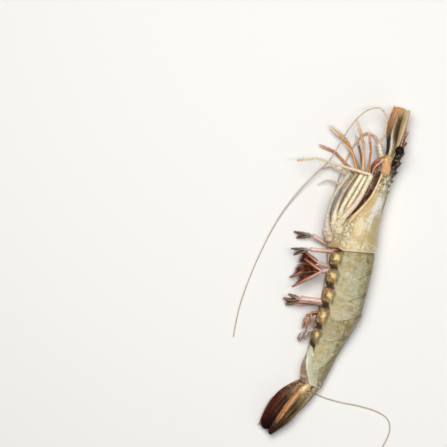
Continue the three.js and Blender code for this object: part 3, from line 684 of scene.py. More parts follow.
def segment_paint(number):
    """Grey green and translucent, mottled pale and dark, with a cream spot on its side plate, painted
    shade and painted highlights.
    """
    first = SEGMENT_TINTS[number - 1]
    paint = Paint(f"segment_{number}_paint", first, roughness=0.42, coat=0.35, coat_roughness=0.16)
    s = paint.value("along")
    turn = paint.turn()
    broad = paint.cloud(6.0, 2.0, seed=number * 3.0)
    patches = paint.cloud(3.2, seed=5.0)
    pale = paint.cloud(2.2, seed=21.0)
    flecks = paint.cloud(1.3, seed=14.0)
    fine = paint.cloud(0.8, 4.0, seed=3.0)
    fibres = paint.cloud(2.0, stretch=(0.3, 1.6, 0.3), seed=8.0)
    paint.wash((0.5, 0.47, 0.29), (broad, (0.44, 0), (0.6, 0.5)))
    paint.wash((0.21, 0.2, 0.085), (patches, (0.46, 0), (0.62, 0.85)))
    paint.wash((0.6, 0.58, 0.44), (pale, (0.48, 0), (0.62, 0.75)))
    wavy = paint.wander(s, patches, 0.3)
    # Painted shade where the front of the segment tucks under the rim of the one before.
    paint.wash((0.2, 0.18, 0.07), (wavy, (0.66, 0), (0.86, 0.9)))
    paint.wash(
        (0.68, 0.64, 0.48), (wavy, (0.02, 0.6), (0.12, 0.3), (0.34, 0)), (turn, (0.2, 0.3), (0.45, 1)))
    paint.wash((0.26, 0.23, 0.11), (fibres, (0.52, 0), (0.66, 0.6)))
    paint.wash((0.64, 0.59, 0.43), (fibres, (0.34, 0.5), (0.46, 0)))
    paint.wash((0.62, 0.55, 0.36), (turn, (0.48, 0), (0.66, 0.5), (0.8, 0.4)))
    back = paint.wander(turn, patches, 0.22)
    # Painted shade: darker along the back, which faces away from the light.
    paint.wash((0.19, 0.16, 0.065), (back, (0.06, 0.95), (0.42, 0)))
    # Near black at the back where the segments meet: partly dark pigment at the joints, partly painted
    # shade.
    paint.wash(
        (0.035, 0.024, 0.01), (back, (0.2, 1), (0.38, 0)),
        (wavy, (0, 0.95), (0.1, 0), (0.72, 0), (0.86, 0.95)))
    paint.wash((0.5, 0.3, 0.0), 0.16)
    # Painted sheen: broad pale patches over the flank, where the wet shell catches the light.
    paint.wash(
        (0.5, 0.5, 0.375), (broad, (0.45, 0), (0.6, 0.6)),
        (turn, (0.22, 0), (0.34, 1), (0.58, 1), (0.7, 0)))
    # Painted shade: dark green patches towards the back.
    paint.wash((0.13, 0.13, 0.05), (patches, (0.46, 0), (0.64, 0.7)), (turn, (0.2, 1), (0.44, 0)))
    # Painted glints: pale flecks, strongest in the band where the highlight falls.
    paint.wash(
        (0.86, 0.84, 0.74), (flecks, (0.585, 0), (0.68, 0.5)),
        (turn, (0.1, 0.2), (0.3, 1), (0.72, 0.8)))
    paint.wash((0.14, 0.12, 0.055), (fine, (0.62, 0), (0.74, 0.45)))
    paint.wash((0.17, 0.15, 0.055), SEGMENT_SHADES[number - 1])
    if number < SEGMENTS:
        plate = paint.wander(turn, pale, 0.1)
        where = paint.wander(s, flecks, 0.3)
        edge = paint.ramp(plate, (0.81, 0), (0.85, 0.8), (1, 0.95))
        paint.wash((0.19, 0.12, 0.05), edge)
        paint.wash((0.46, 0.22, 0.08), edge, (patches, (0.46, 0.9), (0.52, 0)))
        paint.wash((0.46, 0.36, 0.19), edge, (flecks, (0.51, 0), (0.57, 0.7)))
        paint.wash((0.13, 0.08, 0.035), edge, (fine, (0.4, 0.8), (0.46, 0)))
        paint.wash(
            (0.06, 0.035, 0.015), (plate, (0.79, 0), (0.87, 1)),
            (where, (0.14, 1), (0.26, 0), (0.78, 0), (0.88, 1)))
        paint.wash(
            (0.17, 0.14, 0.05), (plate, (0.76, 0), (0.79, 0.8), (0.81, 0.8), (0.84, 0)),
            (where, (0.24, 0), (0.34, 1)))
        paint.wash(
            (0.74, 0.54, 0.19), (plate, (0.825, 0), (0.845, 1), (0.915, 1), (0.94, 0)),
            (where, (0.36, 0), (0.42, 1), (0.64, 1), (0.7, 0)))
        # Painted highlight: the paler middle of the cream spot.
        paint.wash(
            (0.86, 0.72, 0.33), (plate, (0.84, 0), (0.86, 1), (0.89, 1), (0.92, 0)),
            (where, (0.4, 0), (0.45, 1), (0.56, 1), (0.62, 0)))
    else:
        slant = paint.math("SUBTRACT", turn, paint.math("MULTIPLY", s, 0.5))
        slant = paint.wander(slant, pale, 0.08)
        paint.wash((0.6, 0.61, 0.45), (slant, (0.2, 0), (0.38, 0.8), (0.5, 0.8)))
        paint.wash((0.24, 0.19, 0.09), (slant, (0.1, 0.8), (0.26, 0)), (flecks, (0.46, 0), (0.54, 1)))
        paint.wash((0.36, 0.23, 0.15), (slant, (0.5, 0), (0.53, 0.95)))
        paint.wash((0.18, 0.1, 0.06), (slant, (0.53, 0), (0.56, 1)), (patches, (0.48, 0), (0.6, 0.7)))
        # Painted highlight: a thin pale line along the lower edge of the last ring.
        paint.wash((0.85, 0.8, 0.66), (slant, (0.455, 0), (0.485, 0.85), (0.51, 0)))
        paint.wash((0.8, 0.77, 0.66), (s, (0.015, 0.8), (0.05, 0)), (slant, (0.46, 1), (0.52, 0)))
        paint.wash(
            (0.78, 0.74, 0.62), (s, (0.1, 1), (0.3, 0)), (flecks, (0.52, 0), (0.58, 0.9)),
            (slant, (0.24, 1), (0.32, 0)))
        paint.wash((0.85, 0.74, 0.64), (slant, (0.55, 0), (0.58, 1)), (fibres, (0.36, 0.45), (0.44, 0)))
    paint.wash(
        (0.84, 0.8, 0.66), (s, (0, 0.75), (0.022, 0.6), (0.034, 0)),
        (turn, (0.2, 0), (0.36, 0.7), (0.74, 0.7), (0.8, 0)))
    return paint.done(0.24, (patches, 1.6), (pale, 1), (fine, 0.25))


abdomen_flesh_paint = flesh_paint(
    "abdomen_flesh_paint", (0.30, 0.20, 0.11), (0.50, 0.36, 0.22), (0.12, 0.07, 0.04),
    (0.48, 0.20, 0.10))
flesh = rolled("abdomen_flesh", columns=90, rows=64, place=flesh_place)
finish_piece(flesh, abdomen_flesh_paint, "underside")

for number in range(1, SEGMENTS + 1):
    segment = sheet(f"segment_{number}_shell", columns=44, rows=130, place=segment_placer(number))
    if number == SEGMENTS:
        weld(turn_outwards=False)
    thicken(segment, (6.0 + number, 92.0 - 12.0 * (number - 1), 8.0))
    finish_piece(segment, segment_paint(number), "shell", f"abdomen_{number}")

# ---------------------------------------------------------------- tail fan
# The telson is a pointed, grooved spike. On each side of it a stout base carries two
# blades, the outer one broad and nearly black, the inner one with an amber rib. Short
# bristles fringe the blades.

# Middle lines run from root to tip, with widths and heights at their points.
TELSON_LINE = [(13.4, 33.4, 5.6), (11.2, 22.6, 5.5), (7.2, 11.6, 4.9), (1.8, 1.2, 3.6)]
TELSON_WIDTHS = [6.2, 5.4, 3.6, 0.6]
UROPOD_BASE = [(9.6, 31.6), (6.6, 25.6)]
UROPOD_BASE_RADII = [1.9, 1.7]
UROPOD_BASE_OUT = (2.9, 3.4)
EXOPOD_LINE = [(6.2, 32.2), (0.6, 20.8), (-1.8, 10.6), (-3.0, 1.2)]
EXOPOD_WIDTHS = [3.6, 8.4, 8.8, 5.8]
EXOPOD_HEIGHTS = {"left": [6.2, 7.4, 6.8, 5.0], "right": [4.9, 3.7, 3.2, 2.6]}
ENDOPOD_LINE = [(9.6, 30.2), (6.5, 19.4), (4.1, 9.8), (0.6, -0.4)]
ENDOPOD_WIDTHS = [5.4, 7.4, 6.6, 1.4]
ENDOPOD_HEIGHTS = {"left": [8.7, 9.0, 8.3, 6.4], "right": [1.9, 1.7, 1.4, 1.0]}
BLADE_THICKNESS = 0.9
BLADE_CUP = {"left": 0.5, "right": 0.15}
BLADE_TILT = {"left": 0.10, "right": math.pi - 0.04}
# How far from the inner blade's middle its rib lies, and how broad the rib's colour is, as shares
# of the blade's half breadth.
RIB_AT = 0.60
RIB_HALF = 0.36
# The rib's height, how broad it is raised, and the shares of the length that round the ends.
EXOPOD_FORM = {"rib": 0.25, "rib_half": 0.075, "blunt": 0.16, "root_round": 0.10}
ENDOPOD_FORM = {"rib": 0.75, "rib_half": 0.75 * RIB_HALF, "blunt": 0.06, "root_round": 0.06}
TAIL_SEED = 40
SIDES = (("left", 1), ("right", -1))
# A blade's bristles stand between these shares of its length.
FRINGE_START = 0.45
FRINGE_END = 0.97
HAIR_SIDES = 3


def blade_frame(line, widths, tilt, share):
    """Middle, way across, way up and half breadth of a blade at a share of its length."""
    step = 0.01
    centre = Vector(curve_point(line, share))
    ahead = Vector(curve_point(line, min(share + step, 1.0)))
    behind = Vector(curve_point(line, max(share - step, 0.0)))
    forward = (ahead - behind).normalized()
    across = Vector((0, 0, 1)).cross(forward).normalized()
    across = Matrix.Rotation(tilt, 3, forward) @ across
    half = curve_value(widths, share) / 2
    return centre, across, forward.cross(across), half


def blade_placer(line, widths, tilt, rib, cup, blunt, root_round=0.02, rib_at=0.0, rib_half=0.10):
    """The function that rolls a sheet into a thin blade with a raised rib along it. Blunt and
    root_round are the shares of its length over which its end and its root are rounded."""

    def place(u, v):
        centre, across, up, half = blade_frame(line, widths, tilt, u)
        turn = 2 * math.pi * v
        reach = math.cos(turn)
        if u > 1 - blunt:
            half *= math.sqrt(max(1 - ((u - 1 + blunt) / blunt) ** 2, 0.0))
        root = math.sqrt(max(1 - max(1 - u / root_round, 0.0) ** 2, 0.0))
        thick = BLADE_THICKNESS / 2 * (1 - 0.65 * abs(reach) ** 3) * root * min(half / 0.6, 1.0)
        ridge = rib * bump(reach, rib_at, rib_half) * root * (1 - ease(0.55, 0.85, u))
        ridge += 0.12 * bump(abs(reach), 0.88, 0.06) * root
        lift = thick * math.sin(turn) + (ridge if math.sin(turn) > 0 else 0.0) - cup * reach ** 2
        return centre + across * (reach * half * root) + up * lift

    return place


def bristles(name, stems, thickness):
    """Fine bristles in one mesh, each a thin tapered spike through root, middle and tip."""
    hairs = bmesh.new()
    for points in stems:
        root, middle, tip = (spot(p) for p in points)
        forward = (tip - root).normalized()
        across = forward.orthogonal().normalized() * thickness * MM / 2
        angles = [2 * math.pi * k / HAIR_SIDES for k in range(HAIR_SIDES)]
        turns = [Matrix.Rotation(angle, 3, forward) @ across for angle in angles]
        base = [hairs.verts.new(root + t) for t in turns]
        waist = [hairs.verts.new(middle + t * 0.7) for t in turns]
        point = hairs.verts.new(tip)
        hairs.faces.new(list(reversed(base)))
        for k in range(HAIR_SIDES):
            n = (k + 1) % HAIR_SIDES
            hairs.faces.new((base[k], base[n], waist[n], waist[k]))
            hairs.faces.new((waist[k], waist[n], point))
    mesh = bpy.data.meshes.new(name)
    hairs.to_mesh(mesh)
    hairs.free()
    piece = bpy.data.objects.new(name, mesh)
    bpy.context.scene.collection.objects.link(piece)
    return piece


def fringe_stems(line, widths, tilt, count, length, draw):
    """Bristles along both edges of a blade, leaning to its tip; draw is a seeded source of chance."""
    stems = []
    for edge in (1, -1):
        for k in range(count):
            share = FRINGE_START + (FRINGE_END - FRINGE_START) * (k + draw.random() * 0.6) / count
            centre, across, up, half = blade_frame(line, widths, tilt, share)
            forward = across.cross(up)
            lean = 0.6 + 1.6 * ease(0.6, 1.0, share)
            way = (across * edge + forward * lean).normalized()
            reach = length * (0.75 + 0.5 * draw.random())
            root = centre + across * (edge * (half - 0.15))
            middle = root + way * reach * 0.5
            tip = root + (way + forward * 0.25 + up * (draw.random() - 0.5) * 0.3) * reach
            stems.append((root, middle, tip))
    return stems


def blade_paint(name, root, middle, end, edge, streak, rib=None, rib_at=0.0, rib_half=0.1, glow=None):
    """Wet blade, streaked along its length, that darkens to its end, with a coloured rib."""
    paint = Paint(name, root, roughness=0.50, coat=0.06, soft=0.0, shine=0.10)
    along = paint.value("along")
    reach = paint.value("across")
    streaks = paint.fibres(4.2, 1.3)
    dark_streaks = paint.fibres(5.5, 1.6, seed=6.0)
    mottle = paint.cloud(1.7)
    fine = paint.cloud(0.7, seed=5.0)
    wander = paint.wander(along, mottle, 0.45)
    paint.wash(middle, (wander, (0.18, 0), (0.36, 1)))
    paint.wash(streak, (streaks, (0.48, 0), (0.56, 0.95)), (wander, (0.62, 1), (0.9, 0.2)))
    paint.wash((0.01, 0.004, 0.002), (dark_streaks, (0.5, 0), (0.58, 0.9)))
    paint.wash((0.62, 0.44, 0.25), (fine, (0.5, 0), (0.56, 0.85)), (along, (0.12, 1), (0.26, 0)))
    paint.wash(end, (wander, (0.58, 0), (0.84, 1)))
    if glow:
        beyond = paint.math("SUBTRACT", paint.math("MULTIPLY", reach, -1.0), 0.1)
        paint.wash(glow, (beyond, (0, 0), (0.35, 0.85)), (mottle, (0.44, 0.1), (0.56, 1)))
    paint.wash(
        edge, (paint.math("ABSOLUTE", reach), (0.86, 0), (0.95, 0.9)), (mottle, (0.38, 0.2), (0.52, 1)))
    if rib:
        beside = paint.math(
            "DIVIDE", paint.math("ABSOLUTE", paint.math("SUBTRACT", reach, rib_at)), rib_half)
        beside = paint.wander(beside, streaks, 0.8)
        share = paint.overlap((beside, (0.85, 1), (1.1, 0)), (wander, (0.6, 1), (0.84, 0)))
        paint.wash(rib, share)
        paint.wash((0.78, 0.42, 0.2), share, (streaks, (0.5, 0), (0.58, 0.8)))
        paint.wash(
            (0.08, 0.03, 0.01), share, (mottle, (0.54, 0), (0.6, 0.8)), (along, (0.4, 0.2), (0.55, 1)))
    return paint.done(0.3, (streaks, 1.4), (mottle, 0.8), (fine, 0.5))


def bristle_paint(name, colour, light):
    """Fine bristle horn, darker and lighter from place to place."""
    paint = Paint(name, colour, roughness=0.5, coat=0.2, soft=0.0)
    cloud = paint.cloud(2.0)
    paint.wash(light, (cloud, (0.45, 0), (0.62, 0.8)))
    return paint.done(0.02, (cloud, 1))


def telson_place(u, v):
    """Where the rolled sheet of the telson lies: a spike with a groove along its back."""
    centre, across, up, half = blade_frame(TELSON_LINE, TELSON_WIDTHS, math.pi / 2, u)
    turn = 2 * math.pi * v
    root = ease(0.0, 0.03, u) * (1 - ease(0.985, 1.0, u))
    thick = 2.0 * (1 - 0.80 * u)
    groove = 0.55 * bump(math.cos(turn), 0.0, 0.30) * (1 - u) if math.sin(turn) > 0 else 0.0
    out = math.cos(turn) * half * root
    return centre + across * out + up * (math.sin(turn) * thick - groove) * root


telson_paint = blade_paint(
    "telson_paint", (0.27, 0.23, 0.11), (0.22, 0.18, 0.08), (0.08, 0.05, 0.02), (0.40, 0.35, 0.22),
    (0.38, 0.33, 0.19))
telson = rolled("telson_spike", columns=70, rows=32, place=telson_place)
finish_piece(telson, telson_paint, "tail_fan", "telson")

exopod_paint = blade_paint(
    "exopod_paint", (0.26, 0.17, 0.07), (0.026, 0.010, 0.003), (0.005, 0.0015, 0.001),
    (0.11, 0.014, 0.005), (0.125, 0.050, 0.018), glow=(0.085, 0.009, 0.003))
endopod_paints = {
    name: blade_paint(
        f"endopod_{name}_paint", (0.24, 0.17, 0.07), (0.045, 0.026, 0.008), (0.030, 0.014, 0.006),
        (0.34, 0.24, 0.13), (0.26, 0.16, 0.07), rib=(0.52, 0.22, 0.08), rib_at=-side * RIB_AT,
        rib_half=RIB_HALF)
    for name, side in SIDES
}
uropod_base_paint = flesh_paint(
    "uropod_base_paint", (0.72, 0.50, 0.24), (0.82, 0.60, 0.30), (0.34, 0.22, 0.09), (0.66, 0.40, 0.16))
tail_bristle_paint = bristle_paint("tail_bristle_paint", (0.16, 0.03, 0.015), (0.36, 0.10, 0.04))

for side_name, side in SIDES:
    tilt = BLADE_TILT[side_name]
    draw = random.Random(TAIL_SEED + side)
    base_z = [ABDOMEN[0][5] + side * out for out in UROPOD_BASE_OUT]

    def base_place(u, v):
        """Where the rolled sheet of the blades' base lies."""
        (x0, y0), (x1, y1) = UROPOD_BASE
        turn = 2 * math.pi * v
        round_end = math.sqrt(max(1 - (2 * u - 1) ** 4, 0.0))
        radius = (UROPOD_BASE_RADII[0] * (1 - u) + UROPOD_BASE_RADII[1] * u) * round_end
        radius *= 1 + 0.10 * noise.noise(Vector((u * 5, math.cos(turn) * 1.5, math.sin(turn) * 1.5)))
        return (
            x0 + (x1 - x0) * (1.2 * u - 0.1) + radius * math.cos(turn) * 0.92,
            y0 + (y1 - y0) * (1.2 * u - 0.1) - radius * math.cos(turn) * 0.38,
            max(base_z[0] + (base_z[1] - base_z[0]) * u + radius * math.sin(turn) * 0.85, 0.0),
        )

    base = rolled(f"uropod_base_{side_name}_shell", columns=30, rows=24, place=base_place)
    finish_piece(base, uropod_base_paint, "tail_base", f"uropod_base_{side_name}")
    endopod_paint = endopod_paints[side_name]
    for kind, line, widths, heights, paint, rib_at, form in (
        ("exopod", EXOPOD_LINE, EXOPOD_WIDTHS, EXOPOD_HEIGHTS, exopod_paint, 0.0, EXOPOD_FORM),
        ("endopod", ENDOPOD_LINE, ENDOPOD_WIDTHS, ENDOPOD_HEIGHTS, endopod_paint, RIB_AT, ENDOPOD_FORM),
    ):
        path = [(x, y, z) for (x, y), z in zip(line, heights[side_name])]
        cup = BLADE_CUP[side_name]
        place = blade_placer(path, widths, tilt, cup=cup, rib_at=-side * rib_at, **form)
        blade = rolled(f"{kind}_{side_name}_blade", columns=90, rows=64, place=place)
        finish_piece(blade, paint, "tail_fan", f"{kind}_{side_name}")
        stems = fringe_stems(path, widths, tilt, count=110, length=0.9, draw=draw)
        fringe = bristles(f"{kind}_{side_name}_fringe", stems, thickness=0.08)
        finish_piece(fringe, tail_bristle_paint, "tail_fan")

# ---------------------------------------------------------------- head
# Soft flesh fills the front of the shield and carries the stalked eyes, the small feelers,
# the flat scales and the long feelers. It shows as a pink and yellow patch before the rim.
HEAD_CORE = [(2.8, 138.0, MIDDLE), (2.4, 145.0, MIDDLE), (1.6, 151.0, MIDDLE)]
HEAD_CORE_RADIUS = 3.0
HEAD_CORE_TAPER = 1.2
SEAT_RADIUS = 1.5
FEELER_SEAT = [(2.0, 145.0, 2.6), (0.7, 149.6, 4.2), (-0.2, 154.2, 4.6)]
LIMB_STEPS = 24
LIMB_SHARES = [k / LIMB_STEPS for k in range(LIMB_STEPS + 1)]


def roughen(piece, size, height, seed):
    """Moves the skin in and out in soft lumps of a size and a height in millimetres."""
    normals = [vertex.normal.copy() for vertex in piece.data.vertices]
    for vertex, normal in zip(piece.data.vertices, normals):
        where = vertex.co / (size * MM) + Vector((seed, seed, seed))
        vertex.co += normal * noise.noise(where) * height * MM
    return piece


def path_frames(points):
    """Direction up and direction across at each point of a path, without any twist."""
    up = Vector((0, 0, 1))
    frames = []
    for k in range(len(points)):
        before, after = points[max(k - 1, 0)], points[min(k + 1, len(points) - 1)]
        forward = (after - before).normalized()
        up = (up - forward * up.dot(forward)).normalized()
        frames.append((up.copy(), forward.cross(up)))
    return frames


def tube(name, points, radii, sides, flat=1.0, span=(0.0, 1.0)):
    """A sheet rolled round a path, with a radius at each point and round ends. flat widens it
    in the plane of the floor, and span is what its length counts for in its colours."""
    path = [Vector(p) for p in points]
    start = (path[0] - path[1]).normalized() * radii[0] * 0.45
    end = (path[-1] - path[-2]).normalized() * radii[-1] * 0.45
    path = [path[0] + start, path[0] + start * 0.75] + path + [path[-1] + end * 0.75, path[-1] + end]
    breadth = [0.0, radii[0] * 0.62] + list(radii) + [radii[-1] * 0.62, 0.0]
    frames = path_frames(path)
    count = len(path) - 1

    def place(u, v):
        k = round(u * count)
        up, across = frames[k]
        turn = 2 * math.pi * v
        return path[k] + up * breadth[k] * math.cos(turn) + across * breadth[k] * flat * math.sin(turn)

    piece = rolled(name, count, sides, place)
    for kept in piece.data.attributes["along"].data:
        kept.value = span[0] + (span[1] - span[0]) * kept.value
    return piece


def joined(name, pieces):
    """The pieces as one object."""
    bpy.ops.object.select_all(action="DESELECT")
    for piece in pieces:
        piece.select_set(True)
    bpy.context.view_layer.objects.active = pieces[0]
    bpy.ops.object.join()
    whole = bpy.context.object
    whole.name = name
    whole.data.name = name
    return whole


def smooth_path(points, count=LIMB_STEPS):
    """Points evenly spread along the smooth curve through a few."""
    return [tuple(curve_point(points, k / count)) for k in range(count + 1)]


def beside(points, side):
    """Points given by their distance from the middle plane, on the left or the right of it."""
    return [(x, y, MIDDLE + side * out) for x, y, out in points]


def limb_paint(name, *stops, wander=0.12):
    """Wet horn that changes colour along a limb, with painted shade below, streaks and freckles."""
    paint = Paint(name, stops[0][1], roughness=0.38, coat=0.4, soft=0.15)
    patches = paint.cloud(3.0)
    place = paint.wander(paint.value("along"), patches, wander)
    paint.wash(paint.ramp(place, *stops), 1.0)
    fine = paint.cloud(0.7, 5.0, seed=2.0)
    streaks = paint.cloud(1.3, 4.0, seed=9.0)
    paint.wash((0.26, 0.14, 0.06), (streaks, (0.54, 0), (0.68, 0.55)))
    paint.wash((0.84, 0.74, 0.56), (streaks, (0.34, 0.5), (0.46, 0)), (place, (0.5, 1), (0.8, 0.2)))
    paint.wash((0.26, 0.13, 0.06), (fine, (0.6, 0), (0.74, 0.4)))
    lines = paint.cloud(2.4, 2.0, seed=3.0)
    paint.wash(
        (0.2, 0.17, 0.09), (lines, (0.46, 0), (0.49, 0.8), (0.52, 0)), (place, (0.12, 1), (0.22, 0)))
    # Painted shade: darker on the underside and lower sides of each limb.
    paint.wash((0.13, 0.065, 0.025), (paint.breadth(), (0.4, 0.8), (0.72, 0)))
    return paint.done(0.16, (fine, 1), (streaks, 1))


core_radii = [HEAD_CORE_RADIUS - HEAD_CORE_TAPER * share ** 2 for share in LIMB_SHARES]
head_pieces = [tube("head_core", smooth_path(HEAD_CORE), core_radii, sides=32)]
for side in (1, -1):
    seat_radii = [SEAT_RADIUS + math.sin(math.pi * (0.1 + 0.7 * share)) for share in LIMB_SHARES]
    seat = tube(f"feeler_seat_{side}", smooth_path(beside(FEELER_SEAT, side)), seat_radii, sides=28)
    head_pieces.append(roughen(seat, size=2.4, height=0.6, seed=2.0))
head_core = joined("head_core", head_pieces)
head_core_paint = flesh_paint(
    "head_core_paint", (0.78, 0.42, 0.21), (0.86, 0.48, 0.27), (0.34, 0.14, 0.06), (0.58, 0.50, 0.16))
finish_piece(head_core, head_core_paint, "underside")

# ---------------------------------------------------------------- eyes
# The two eyes. Each is a black glossy ball on a horny stalk that widens towards it, and
# the stalk grows from the soft head before the shield's front rim.
EYE_STALK = [(4.2, 147.0, 1.6), (4.4, 150.6, 3.6), (4.1, 156.0, 6.2), (3.8, 159.6, 7.6)]
EYE_STEPS = 30
EYE_RADIUS = 2.35
CAP_STEPS = 9

eye_paint = Paint(
    "eye_paint", (0.16, 0.14, 0.06), roughness=0.55, coat=0.10, soft=0.0, shine=0.10,
    coat_roughness=0.3)
eye_paint.wash((0.006, 0.005, 0.006), (eye_paint.value("along"), (0.18, 0), (0.3, 1)))
eye_paint.wash(
    (0.24, 0.2, 0.09), (eye_paint.cloud(1.4), (0.54, 0), (0.6, 0.8)),
    (eye_paint.value("along"), (0.55, 1), (0.7, 0.12)))
eye_surface = eye_paint.done(0.12, (eye_paint.cloud(1.2), 1))

for side_name, side in SIDES:
    path = smooth_path(beside(EYE_STALK, side), EYE_STEPS)
    ball = Vector(path[-1])
    radii = []
    for k, point in enumerate(path):
        share = k / EYE_STEPS
        stalk = 0.95 + 0.75 * ease(0.45, 0.85, share) + 0.2 * bump(share, 0.25, 0.08)
        inside = EYE_RADIUS ** 2 - (Vector(point) - ball).length ** 2
        radii.append(max(stalk, math.sqrt(max(inside, 0.0))))
    beyond = (ball - Vector(path[-3])).normalized()
    for k in range(1, CAP_STEPS):
        turn = k / CAP_STEPS * math.pi / 2
        path.append(tuple(ball + beyond * EYE_RADIUS * math.sin(turn)))
        radii.append(EYE_RADIUS * math.cos(turn))
    eye = tube(f"eye_{side_name}_ball", path, radii, sides=28)
    finish_piece(eye, eye_surface, "eye", f"eye_{side_name}")

# ---------------------------------------------------------------- antennules
# The small feelers, of thin horn. Each is a stem of three joints that grows from the head
# between the scales, and carries two short whips.
ANTENNULE = [(0.6, 148.6, 1.9), (-0.8, 158.5, 2.0), (-2.0, 165.5, 2.0), (-2.8, 170.0, 2.0)]
ANTENNULE_RADII = [1.5, 1.3, 1.1, 0.9]
ANTENNULE_WHIPS = [
    [(-2.6, 169.0, 2.0), (-3.6, 174.0, 2.8), (-5.0, 180.0, 4.0)],
    [(-2.7, 169.0, 2.0), (-4.4, 173.0, 1.8), (-6.6, 178.0, 2.2)],
]
ANTENNULE_WHIP_RADIUS = 0.5
ANTENNULE_WHIP_TAPER = 0.32
# How an article of a limb swells and narrows along its length.
JOINT_SHARES = [0.0, 0.03, 0.08, 0.16, 0.30, 0.50, 0.70, 0.84, 0.93, 0.98]
JOINT_SWELL = [0.72, 0.86, 0.98, 1.0, 0.97, 0.94, 0.95, 1.02, 1.08, 0.96]


def article(name, start, end, first, last, span, sides=14, flat=1.0, bow=0.0):
    """One article of a limb: narrow where it enters the last one, swollen where it ends."""
    start, end = Vector(start), Vector(end)
    sideways = (end - start).cross(Vector((0, 0, 1)))
    sideways = sideways.normalized() if sideways.length > 0 else Vector((1, 0, 0))
    path, radii = [], []
    for share, swell in zip(JOINT_SHARES, JOINT_SWELL):
        path.append(start.lerp(end, share) + sideways * bow * 4 * share * (1 - share))
        radii.append((first + (last - first) * share) * swell)
    return tube(name, path, radii, sides, flat, span)


def limb(name, joints, radii, reach, sides=14):
    """The articles of a limb from joint to joint, as a list of pieces. Reach is what they all
    count for in the colours."""
    count = len(joints) - 1
    return [
        article(
            f"{name}_{k}", joints[k], joints[k + 1], radii[k], radii[k + 1],
            (reach * k / count, reach * (k + 1) / count), sides)
        for k in range(count)
    ]


antennule_paint = limb_paint(
    "antennule_paint", (0.0, (0.40, 0.36, 0.18)), (0.45, (0.60, 0.44, 0.26)), (0.8, (0.62, 0.30, 0.18)))
for side_name, side in SIDES:
    pieces = limb(f"antennule_{side_name}", beside(ANTENNULE, side), ANTENNULE_RADII, reach=0.6)
    for whip in ANTENNULE_WHIPS:
        radii = [ANTENNULE_WHIP_RADIUS - ANTENNULE_WHIP_TAPER * share for share in LIMB_SHARES]
        path = smooth_path(beside(whip, side))
        pieces.append(tube(f"whip_{side_name}", path, radii, sides=8, span=(0.6, 1.0)))
    antennule = joined(f"antennule_{side_name}_stem", pieces)
    finish_piece(antennule, antennule_paint, "feelers", f"antennule_{side_name}")

# ---------------------------------------------------------------- antennal scales
# A broad thin scale beside each long feeler: dark along its middle, pale at its edges,
# with an amber tip, and fringed with soft bristles on its inner edge and end.
SCALE_LINE = [(1.0, 150.0, 4.3), (0.0, 159.5, 4.5), (-2.4, 170.5, 4.8), (-3.4, 180.4, 4.8)]
SCALE_WIDTHS = [2.6, 5.6, 9.0, 8.2]
SCALE_TILT = 0.1
SCALE_CUP = 0.7
SCALE_RIB = {"left": 0.35, "right": 0.1}
SCALE_SEED = 60


def scale_paint():
    """Olive horn with a dark brown middle, light margins and an orange end."""
    paint = Paint("scale_paint", (0.38, 0.28, 0.13), roughness=0.48, coat=0.1, soft=0.05, shine=0.12)
    streaks = paint.fibres(3.6, 1.6)
    dark_streaks = paint.fibres(5.0, 1.4, seed=3.0)
    fine = paint.cloud(0.9, 4.0)
    mottle = paint.cloud(1.8, seed=2.0)
    reach = paint.wander(paint.wander(paint.breadth(), mottle, 0.1), streaks, 0.22)
    along = paint.wander(paint.value("along"), streaks, 0.5)
    paint.wash((0.2, 0.13, 0.05), (streaks, (0.5, 0), (0.58, 0.8)))
    paint.wash((0.62, 0.52, 0.34), (streaks, (0.36, 0.8), (0.44, 0)))
    paint.wash((0.44, 0.2, 0.065), (reach, (0.58, 0), (0.66, 0.95)), (along, (0.58, 0), (0.74, 1)))
    paint.wash(
        (0.78, 0.5, 0.27), (reach, (0.56, 0), (0.62, 0.9), (0.8, 0.9), (0.88, 0)),
        (along, (0.56, 0), (0.66, 1)), (streaks, (0.5, 0), (0.58, 0.9)))
    paint.wash(
        (0.12, 0.035, 0.012), (reach, (0.6, 0), (0.68, 0.9)), (along, (0.5, 0), (0.6, 1), (0.86, 0.6)),
        (dark_streaks, (0.47, 0), (0.53, 0.9)))
    paint.wash(
        (0.015, 0.016, 0.008), (reach, (0.7, 0), (0.78, 0.97)),
        (along, (0.12, 0.3), (0.24, 1), (0.5, 1), (0.62, 0)))
    paint.wash(
        (0.66, 0.64, 0.6), (reach, (0.54, 0), (0.6, 1), (0.7, 1), (0.76, 0)),
        (along, (0.14, 0.3), (0.26, 1), (0.46, 0.9), (0.58, 0)))
    paint.wash(
        (0.04, 0.016, 0.004), (reach, (0.26, 0), (0.34, 1), (0.56, 1), (0.64, 0)),
        (along, (0.36, 0), (0.48, 0.95), (0.78, 0.9), (0.9, 0)))
    paint.wash((0.56, 0.24, 0.075), (reach, (0.26, 0), (0.4, 0.95)), (along, (0.84, 0), (0.92, 0.95)))
    paint.wash((0.62, 0.5, 0.32), (reach, (0.26, 0.9), (0.34, 0)), (along, (0.8, 0), (0.92, 0.9)))
    paint.wash((0.76, 0.54, 0.36), (reach, (0.04, 1), (0.09, 0.9), (0.14, 0)))
    paint.wash((0.08, 0.04, 0.015), (fine, (0.6, 0), (0.7, 0.5)))
    return paint.done(0.3, (streaks, 1), (fine, 0.5))


scale_surface = scale_paint()
scale_bristle_paint = bristle_paint("scale_bristle_paint", (0.50, 0.24, 0.10), (0.70, 0.46, 0.26))
for side_name, side in SIDES:
    line = beside(SCALE_LINE, side)
    tilt = SCALE_TILT * side
    place = blade_placer(
        line, SCALE_WIDTHS, tilt, rib=SCALE_RIB[side_name], cup=SCALE_CUP * side, blunt=0.08)
    scale = rolled(f"antennal_scale_{side_name}_blade", columns=70, rows=56, place=place)
    finish_piece(scale, scale_surface, "head_scale", f"antennal_scale_{side_name}")
    draw = random.Random(SCALE_SEED + side)
    stems = fringe_stems(line, SCALE_WIDTHS, tilt, count=90, length=1.0, draw=draw)
    fringe = bristles(f"antennal_scale_{side_name}_fringe", stems, thickness=0.10)
    finish_piece(fringe, scale_bristle_paint, "head_scale")

